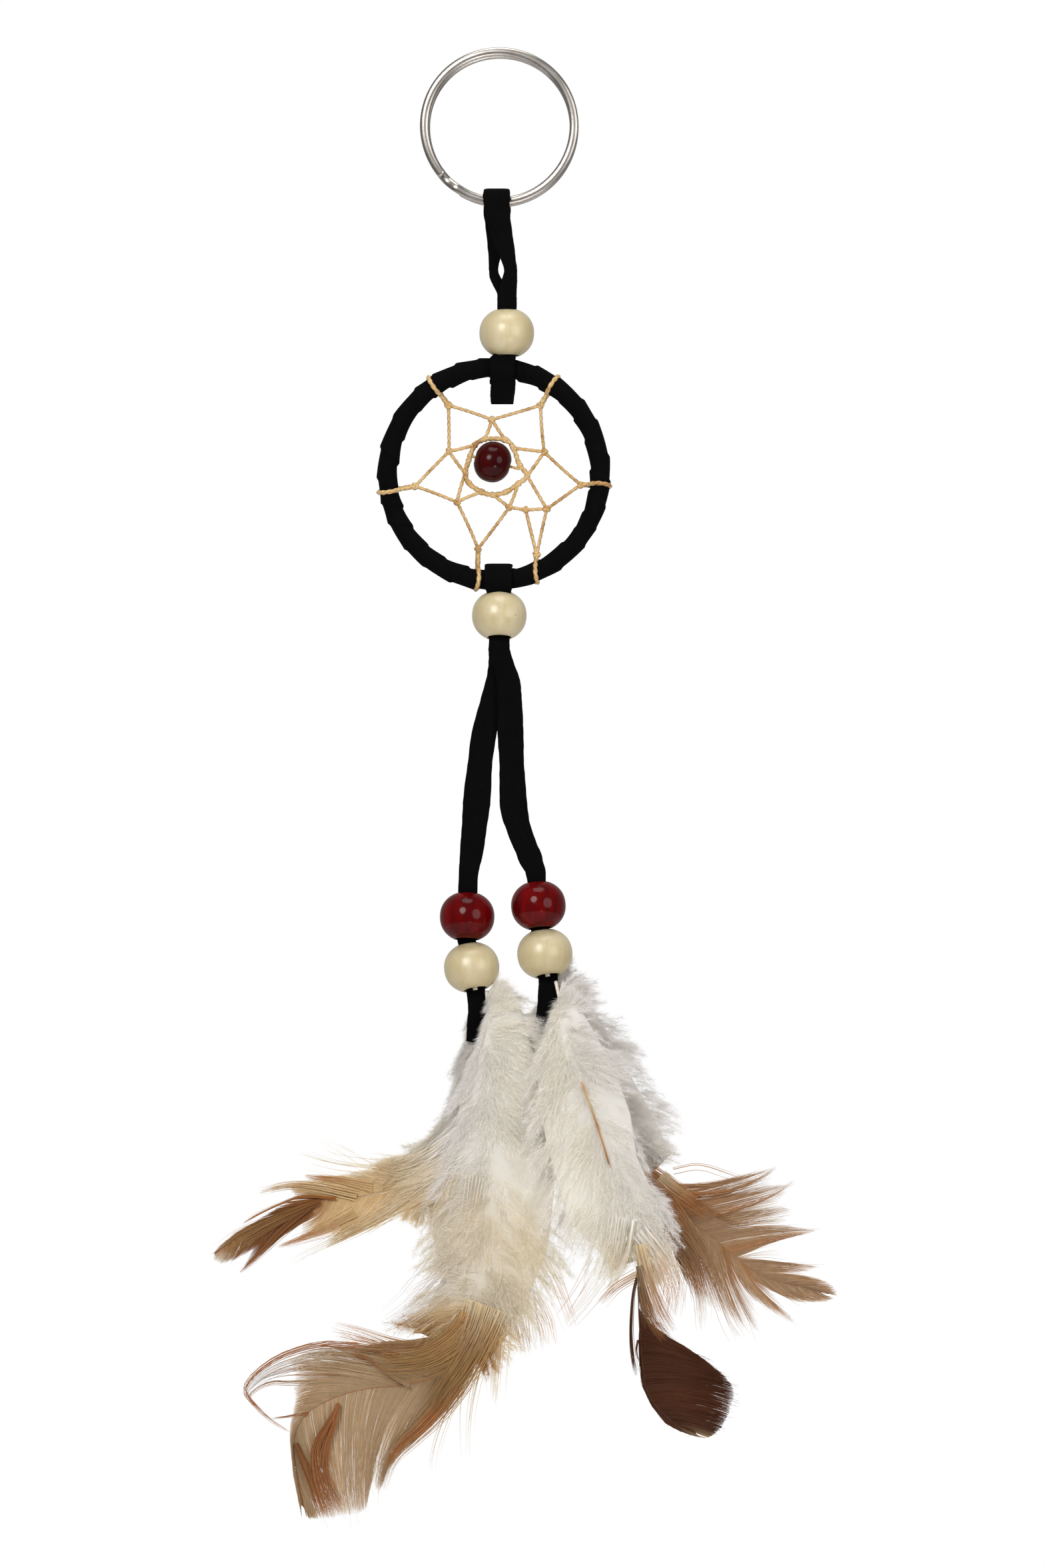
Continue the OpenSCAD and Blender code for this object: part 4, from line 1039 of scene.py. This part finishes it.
def table_at(rows, s):
    """Rows (place, values...) blended linearly at places s."""
    places = [r[0] for r in rows]
    columns = np.array([np.ravel(r[1:]) for r in rows], float)
    return np.stack([np.interp(s, places, columns[:, k]) for k in range(columns.shape[1])], -1)


def arc(root, control, tip, u):
    """Points of quadratic arcs at shares u of their way."""
    return root * (1 - u) ** 2 + control * 2 * u * (1 - u) + tip * u ** 2


def guided_arcs(root, guide, u):
    """Arcs from the roots to the guides' tips, each in its root's depth."""
    control = np.stack([guide[:, 0], root[:, 1], guide[:, 1]], 1)[:, None]
    tip = np.stack([guide[:, 2], root[:, 1], guide[:, 3]], 1)[:, None]
    return arc(root[:, None], control, tip, u)


def barb_lines(at, guides, s, s_tip, length, steps, rng, y_mid, y_tip, wave):
    """Curved barbs from the shaft: arcs to the guides' tips, shortened by length, with small waves."""
    root = at(s)
    y = root[:, 1]
    bend = table_at(guides, s * 0.8 + s_tip * 0.2)
    guide = table_at(guides, s_tip)
    control = np.stack([bend[:, 0], y + y_mid, bend[:, 1]], 1)
    tip = np.stack([guide[:, 2], y + y_tip, guide[:, 3]], 1)
    control = root + (control - root) * length[:, None]
    tip = root + (tip - root) * length[:, None]
    u = np.linspace(0, 1, steps)[None, :, None]
    line = arc(root[:, None], control[:, None], tip[:, None], u)
    return line + waves(line, u, rng) * wave


def waves(line, u, rng):
    """Small bends, that grow towards the tip, for lines of shape (count, steps, 3)."""
    count = len(line)
    reach = np.linalg.norm(line[:, -1] - line[:, 0], axis=1)[:, None, None]
    phase = rng.uniform(0, 2 * math.pi, (count, 1, 3))
    rate = rng.uniform(3, 7, (count, 1, 3))
    return np.sin(phase + u * rate) * u ** 1.3 * reach * rng.uniform(0.3, 1, (count, 1, 3))


def barb_ribbons(line, width, tilt, taper=0.8):
    """Each barb as a thin flat ribbon; tilt turns its face out of the vane's plane."""
    count, steps = line.shape[:2]
    tangent = unit(np.gradient(line, axis=1))
    side = unit(np.cross(tangent, [0, 1, 0]))
    normal = np.cross(side, tangent)
    edge = side * np.cos(tilt)[:, None, None] + normal * np.sin(tilt)[:, None, None]
    u = np.linspace(0, 1, steps)[None, :, None]
    half = width[:, None, None] / 2 * (1 - taper * u ** 1.5)
    points = np.stack([line - edge * half, line + edge * half], 2)
    first = (np.arange(count)[:, None] * steps + np.arange(steps - 1)[None]).ravel() * 2
    faces = np.stack([first, first + 1, first + 3, first + 2], 1)
    return points.reshape(-1, 3), faces


class Barbs:
    """Gathers ribbons and their colours into one mesh."""

    def __init__(self):
        self.points, self.faces, self.tones, self.start = [], [], [], 0

    def add(self, points, faces, tones):
        self.points.append(points)
        self.faces.append(faces + self.start)
        self.tones.append(tones)
        self.start += len(points)

    def ribbons(self, line, width, tilt, tone, taper=0.8):
        """tone has one colour for each point of each line."""
        points, faces = barb_ribbons(line, width, tilt, taper)
        self.add(points, faces, np.repeat(tone.reshape(-1, 3), 2, axis=0))

    def make(self, name, material):
        return mesh_object(name, np.concatenate(self.points), np.concatenate(self.faces), material,
                           np.concatenate(self.tones), smooth=False)


def clumped(s, low, high, groups, strength, rng):
    """Where each barb's tip is drawn to: the middle of its own group, so that splits open between groups."""
    edges = np.sort(np.concatenate([[low, high], rng.uniform(low, high, groups - 1)]))
    group = np.clip(np.searchsorted(edges, s) - 1, 0, groups - 1)
    middle = (edges[group] + edges[np.minimum(group + 1, groups)]) / 2
    pull = rng.uniform(0.25, 1.35, groups)[group] * strength
    return s + (middle - s) * np.clip(pull, 0, 0.95), group


def vane_barbs(barbs, spec, at, side, rng):
    """One side of the vane: fine barbs, drawn into groups, even along the shaft and the outline together."""
    guides = spec[side]
    low, high = guides[0][0], guides[-1][0]
    places = np.linspace(low, high, OUTLINE_STEPS)
    tips = table_at(guides, places)[:, 2:]
    roots = at(places)
    pace = np.linalg.norm(np.diff(roots, axis=0), axis=1) + 0.5 * np.minimum(
        np.linalg.norm(np.diff(tips, axis=0), axis=1), 1.2)
    travel = np.concatenate([[0], np.cumsum(pace)])
    count = spec["count"]
    s = np.interp(np.linspace(0, travel[-1], count) + rng.normal(0, 0.05, count), travel, places)
    groups = spec["groups"]
    s_tip, group = clumped(s, low, high, groups, spec["clump"], rng)
    length = 1 - np.abs(rng.normal(0, spec["ragged"], count)) - rng.uniform(0, 0.03, groups)[group]
    stray = rng.uniform(0, 1, count) > 1 - STRAY_SHARE
    length = np.where(stray, length * 1.08, length)
    y_tip = rng.normal(0, 0.16, count) + rng.uniform(-1, 1, groups)[group] * 0.15 - spec["cup"] * 0.5
    steps = 13
    wave = np.where(stray, 0.04, 0.005)[:, None, None]
    line = barb_lines(at, guides, s, s_tip, length, steps, rng, -spec["cup"] * 0.5, y_tip, wave)
    tones = table_at(spec["tones"], s)
    u = np.linspace(0, 1, steps)[None, :, None]
    tone = tones[:, None, :3] * (1 - u) + tones[:, None, 3:] * u
    for streak_side, place_on, spread, colour in spec.get("streaks", []):
        if streak_side == side:
            share = np.exp(-((s - place_on) / spread) ** 2)[:, None, None] * (0.85 - 0.35 * u)
            tone = tone * (1 - share) + colour * share
    shade = rng.uniform(0.96, 1.03, groups)[group] * rng.uniform(0.78, 1.15, count)
    barbs.ribbons(line, spec["width"] * rng.uniform(0.75, 1.25, count), rng.normal(0, 0.4, count),
                  tone * shade[:, None, None])


def wisp_barbs(barbs, wisp, rng):
    """A loose lock of barbs along its own route."""
    route, y, count, spread_start, spread_end, tone_start, tone_end = wisp
    steps = 17
    line = smooth_line(route, 8)
    run = np.linspace(0, 1, len(line))
    length = 1 - np.abs(rng.normal(0, 0.11, count))
    u = np.linspace(0, 1, steps)
    on = np.clip(u[None] * length[:, None], 0, 1)
    x, z = (np.interp(on, run, line[:, k]) for k in (0, 1))
    slope = unit(np.gradient(line, axis=0))
    off = rng.normal(0, 1, (count, 1)) * (spread_start * (1 - on) + spread_end * on) + rng.normal(
        0, spread_end * 0.4, (count, 1)) * on ** 2
    x = x - np.interp(on, run, slope[:, 1]) * off
    z = z + np.interp(on, run, slope[:, 0]) * off
    depth = y + rng.normal(0, 0.25, (count, 1)) + 0 * on
    lines = np.stack([x, depth, z], 2)
    lines = lines + waves(lines, u[None, :, None], rng) * 0.006
    share = u[None, :, None]
    tone = (tone_start * (1 - share) + tone_end * share) * rng.uniform(0.85, 1.12, (count, 1, 1))
    width = WISP_WIDTH * rng.uniform(0.8, 1.3, count)
    barbs.ribbons(lines, width, rng.normal(0, 0.4, count), tone, 0.85)


def vane(name, feather):
    """The flat, coloured end of the feather, with its loose locks."""
    spec = feather["vane"]
    _, _, at = shaft_curve(feather["shaft"])
    rng = np.random.default_rng(feather["seed"])
    barbs = Barbs()
    for side in SIDES:
        vane_barbs(barbs, spec, at, side, rng)
    for wisp in feather["wisps"]:
        wisp_barbs(barbs, wisp, rng)
    place(barbs.make(f"{name}_vane", VANE), feather["body"], feather["slot"], feather["node"])


def shaft(name, feather):
    """The quill and shaft, thick and pale at the bead and a dark hair at the tip."""
    line, places, _ = shaft_curve(feather["shaft"])
    along = places / places[-1]
    radius = 0.3 * (1 - along) ** 2.2 + 0.07
    line[:, 1] -= table_at(feather.get("proud", [(0, 0)]), places)[:, 0]
    sides = 8
    points, faces = tube(line, radius, sides)
    tones = np.repeat(table_at(feather["shaft_tone"], places), sides, axis=0)
    place(mesh_object(f"{name}_shaft", points, faces, HORN, tones), feather["body"], feather["slot"])


BARBULES = 88   # on each barb of the down
TUFTS = 150   # in each feather's down
CORE_REACH = 0.62   # share of the down's width that its dense middle fills


def down_ends(spec):
    """First and last place of the downy part that both sides have."""
    low = max(spec["left"][0][0], spec["right"][0][0])
    high = min(spec["left"][-1][0], spec["right"][-1][0])
    return low, high


def fullness(spec, s, w):
    """Half-thickness of the down at place s and share w of the way out to its edge."""
    low, high = down_ends(spec)
    start = np.clip((s - low + 0.25) / 1.2, 0.02, 1) ** 0.6
    end = np.clip((high - s) / 1.8, 0.03, 1) ** 0.7
    return spec["depth"] * start * end * np.sqrt(np.clip(1 - w ** 2, 0, 1))


def down_core(feather):
    """The dense middle of the down, one soft body ribbed along its barbs, under the loose fluff."""
    spec = feather["down"]
    _, _, at = shaft_curve(feather["shaft"])
    rng = np.random.default_rng(feather["seed"] + 20)
    low, high = down_ends(spec)
    s = np.linspace(low, high, 120)
    w = np.sin(np.linspace(0, math.pi / 2, 16))
    root = at(s)
    ribs = 0
    for rate in (9, 15, 23, 38, 61):
        height, phase, slope = rng.uniform(0.02, 0.05), rng.uniform(0, 6, 1), rng.normal()
        ribs = ribs + height * np.sin(s[:, None] * rate + phase + 2.2 * w[None] * slope)
    sheets = {}
    for side in SIDES:
        sheet = guided_arcs(root, table_at(spec[side], s), (w * CORE_REACH)[None, :, None])
        thick = fullness(spec, s[:, None], w[None]) * 0.8 * (1 + ribs)
        for face, sign in (("front", -1), ("back", 1)):
            moved = sheet.copy()
            moved[..., 1] += sign * thick
            sheets[side, face] = moved
    rings = np.concatenate([sheets["left", "front"][:, ::-1], sheets["right", "front"][:, 1:],
                            sheets["right", "back"][:, -2::-1], sheets["left", "back"][:, 1:-1]], 1)
    points, faces = skin(rings)
    share = np.concatenate([-w[::-1], w[1:], w[-2::-1], -w[1:-1]]) / 2 + 0.5
    tint = spec["tints"][0] * (1 - share[:, None]) + spec["tints"][1] * share[:, None]
    tones = table_at(spec["tones"], s)[:, None] * tint[None]
    return points, faces, tones.reshape(-1, 3)


def barbules(line, tones, rng):
    """Fine pointed hairs all along the barbs' lines, in the barbs' own colours."""
    count, steps = line.shape[:2]
    along = rng.uniform(0.02, 1, (count, BARBULES))
    station = along * (steps - 1)
    i = np.minimum(station.astype(int), steps - 2)
    f = (station - i)[..., None]
    rows = np.arange(count)[:, None]
    start = line[rows, i] * (1 - f) + line[rows, i + 1] * f
    ahead = unit(line[rows, i + 1] - line[rows, i])
    away = rng.normal(0, 1, (count, BARBULES, 3))
    away = unit(away - ahead * np.sum(away * ahead, axis=2, keepdims=True))
    lean = rng.uniform(0.6, 1.8, (count, BARBULES, 1))
    size = rng.uniform(0.5, 1.35, (count, BARBULES, 1)) * (1 - 0.4 * along[..., None] ** 3)
    end = start + (away + ahead * lean) * size
    end[..., 1] -= (end[..., 1] - start[..., 1]) * 0.5
    half = unit(np.cross(end - start, rng.normal(0, 1, (count, BARBULES, 3)))) * BARBULE_WIDTH / 2
    corners = np.stack([start - half, start + half, end], 2).reshape(-1, 3)
    faces = np.arange(len(corners)).reshape(-1, 3)
    return corners, faces, np.repeat(tones[rows, i].reshape(-1, 3), 3, axis=0)


def down(name, feather):
    """The downy part: soft curved barbs in loose tufts, fringed with fine barbules, over the dense middle."""
    spec = feather["down"]
    _, _, at = shaft_curve(feather["shaft"])
    rng = np.random.default_rng(feather["seed"] + 50)
    steps = 9
    count = spec["count"]
    low, high = down_ends(spec)
    tuft = rng.integers(0, TUFTS, count)
    tuft_s, tuft_across = rng.uniform(low, high, TUFTS), rng.uniform(-0.25, 1.25, TUFTS)
    s = np.clip(tuft_s[tuft] + rng.normal(0, 0.16, count), low, high)
    across = np.clip(tuft_across[tuft] + rng.normal(0, 0.16, count), 0, 1)
    left, right = table_at(spec["left"], s), table_at(spec["right"], s)
    guide = left * (1 - across[:, None]) + right * across[:, None]
    root = at(s)
    root[:, 0] += (across - 0.5) * 1.6 * np.clip((s - low) / 1.5, 0, 1)
    first = np.clip(rng.uniform(-0.1, 0.7, TUFTS)[tuft] + rng.normal(0, 0.06, count), 0, 0.75)
    last = np.minimum(first + rng.uniform(0.3, 0.62, count), rng.uniform(0.8, 1.1, count))
    u = first[:, None] + (last - first)[:, None] * np.linspace(0, 1, steps)[None]
    line = guided_arcs(root, guide, u[..., None])
    face = np.where(rng.uniform(0, 1, TUFTS) < 0.62, -1, 1)[tuft][:, None]
    edge_share = np.abs(2 * across - 1)[:, None]
    grow = np.linspace(0, 1, steps)[None]
    lift = (rng.uniform(0, 0.7, TUFTS)[tuft] + rng.normal(0, 0.15, count))[:, None] * grow
    line[..., 1] += face * (fullness(spec, s[:, None], np.clip(u, 0, 1) * edge_share) * 0.85 + lift)
    turn = rng.normal(0, 0.2, TUFTS)[tuft] * (1 - u[:, 0]) + rng.normal(0, 0.06, count)
    turn = turn[:, None] * grow ** 0.5
    arm = line - line[:, :1]
    line[..., 0] = line[:, :1, 0] + arm[..., 0] * np.cos(turn) - arm[..., 2] * np.sin(turn)
    line[..., 2] = line[:, :1, 2] + arm[..., 0] * np.sin(turn) + arm[..., 2] * np.cos(turn)
    line = line + waves(line, np.linspace(0, 1, steps)[None, :, None], rng) * 0.035
    tint = spec["tints"][0] * (1 - across[:, None]) + spec["tints"][1] * across[:, None]
    tone = table_at(spec["tones"], s) * tint * rng.uniform(0.96, 1.02, (TUFTS, 1))[tuft]
    # Painted shade: towards their tips, barbs near the down's outer edges are blended up to 0.6 of the way to
    # the grey MIST, so the fringe is shaded in its colour.
    rim = np.clip(u[..., None] * edge_share[..., None], 0, 1) ** 2 * 0.6
    tones = tone[:, None] * (1 - rim) + np.minimum(MIST, tone[:, None] * 1.05) * rim
    barbs = Barbs()
    points, faces = barb_ribbons(line, np.full(count, DOWN_WIDTH), rng.uniform(0, math.pi, count))
    triangles = np.concatenate([faces[:, [0, 1, 2]], faces[:, [0, 2, 3]]])
    barbs.add(points, triangles, np.repeat(tones.reshape(-1, 3), 2, axis=0))
    barbs.add(*barbules(line, tones, rng))
    place(barbs.make(f"{name}_down", DOWN), feather["body"], feather["slot"])
    points, faces, tones = down_core(feather)
    core = mesh_object(f"{name}_down_core", points, faces, DOWN, tones)
    place(core, feather["body"], feather["slot"])


# ---------------------------------------------------------------- stage
FLOOR_Z = -0.325   # 6 cm under the longest feather
FLOOR_R = 0.4
# Name, place, size across and power of each lamp
LAMPS = [("key_light", (-0.45, -1.1, 0.45), 0.6, 12), ("fill_light", (0.8, -0.9, 0.1), 0.8, 6),
         ("low_light", (0.25, -1, -0.75), 0.35, 3), ("top_light", (0, -0.15, 0.8), 0.6, 4)]
LAMP_TARGET = (0, 0, -0.12)
ROOM_STRENGTH = 0.62


def floor_disc():
    """A plain pale floor under the hanging object."""
    mesh = bpy.data.meshes.new("floor")
    a = circle(96)
    ring = np.stack([FLOOR_R * np.cos(a), FLOOR_R * np.sin(a), np.full(96, FLOOR_Z)], 1)
    mesh.from_pydata(ring.tolist(), [], [list(range(96))])
    floor = bpy.data.objects.new("floor", mesh)
    bpy.context.scene.collection.objects.link(floor)
    s = Shader("floor_paint")
    s.set(Roughness=0.9)
    s.colour(s.ramp(s.noise(30), (0.3, (0.86, 0.86, 0.86)), (0.7, (0.9, 0.9, 0.9))))
    mesh.materials.append(s.material)


def lamps():
    """Soft studio lamps, all turned to the object."""
    for name, at, size, power in LAMPS:
        data = bpy.data.lights.new(name, "AREA")
        data.shape = "DISK"
        data.size = size
        data.energy = power
        light = bpy.data.objects.new(name, data)
        light.location = at
        x, y, z = np.array(LAMP_TARGET) - np.array(at)
        light.rotation_euler = (math.atan2(math.hypot(x, y), -z), 0, math.atan2(y, x) - math.pi / 2)
        bpy.context.scene.collection.objects.link(light)


def white_room():
    """White to the camera; what lights the object is dark round the camera and white behind the object."""
    world = bpy.data.worlds.new("white_room")
    world.use_nodes = True
    bpy.context.scene.world = world
    nodes, links = world.node_tree.nodes, world.node_tree.links
    shown = nodes["Background"]
    shown.inputs["Color"].default_value = (1, 1, 1, 1)
    room = nodes.new("ShaderNodeBackground")
    coords = nodes.new("ShaderNodeTexCoord")
    split = nodes.new("ShaderNodeSeparateXYZ")
    links.new(coords.outputs["Generated"], split.inputs["Vector"])
    ramp = nodes.new("ShaderNodeValToRGB")
    near, far = ramp.color_ramp.elements
    near.position, near.color = 0.0, (0.14, 0.14, 0.15, 1)
    far.position, far.color = 1.0, (1, 1, 1, 1)
    ramp.color_ramp.elements.new(0.55).color = (0.4, 0.4, 0.41, 1)
    shift = nodes.new("ShaderNodeMapRange")
    shift.inputs["From Min"].default_value = -1
    shift.inputs["From Max"].default_value = 1
    links.new(split.outputs["Y"], shift.inputs["Value"])
    links.new(shift.outputs["Result"], ramp.inputs["Fac"])
    links.new(ramp.outputs["Color"], room.inputs["Color"])
    room.inputs["Strength"].default_value = ROOM_STRENGTH
    path = nodes.new("ShaderNodeLightPath")
    mix = nodes.new("ShaderNodeMixShader")
    links.new(path.outputs["Is Camera Ray"], mix.inputs["Fac"])
    links.new(room.outputs["Background"], mix.inputs[1])
    links.new(shown.outputs["Background"], mix.inputs[2])
    links.new(mix.outputs["Shader"], nodes["World Output"].inputs["Surface"])


def stage():
    """Floor, lamps and the room round the object."""
    floor_disc()
    lamps()
    white_room()
    bpy.context.scene.view_settings.view_transform = "Standard"


def repaint(node, material):
    """A CAD node that stays as it is, in a material of its own."""
    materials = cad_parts[node].data.materials
    materials.clear()
    materials.append(material)


# ---------------------------------------------------------------- building it
beads()
strands()
key_ring()
hanger_lace()
sling_lace()
tail_lace()
hoop_wrap()
web()
for seed, (name, plume_spec) in enumerate(FEATHERS.items(), 101):
    colour = "tan" if name.startswith("left") else "brown"
    plume_spec.update(body=f"{name}_plume", node=f"{name}_feather", slot=f"{colour}_feather", seed=seed)
    shaft(name, plume_spec)
    vane(name, plume_spec)
    down(name, plume_spec)

repaint("hoop_core", STEEL)
repaint("left_quill_ends", QUILL)
repaint("right_quill_ends", QUILL)

stage()

bpy.context.view_layer.update()
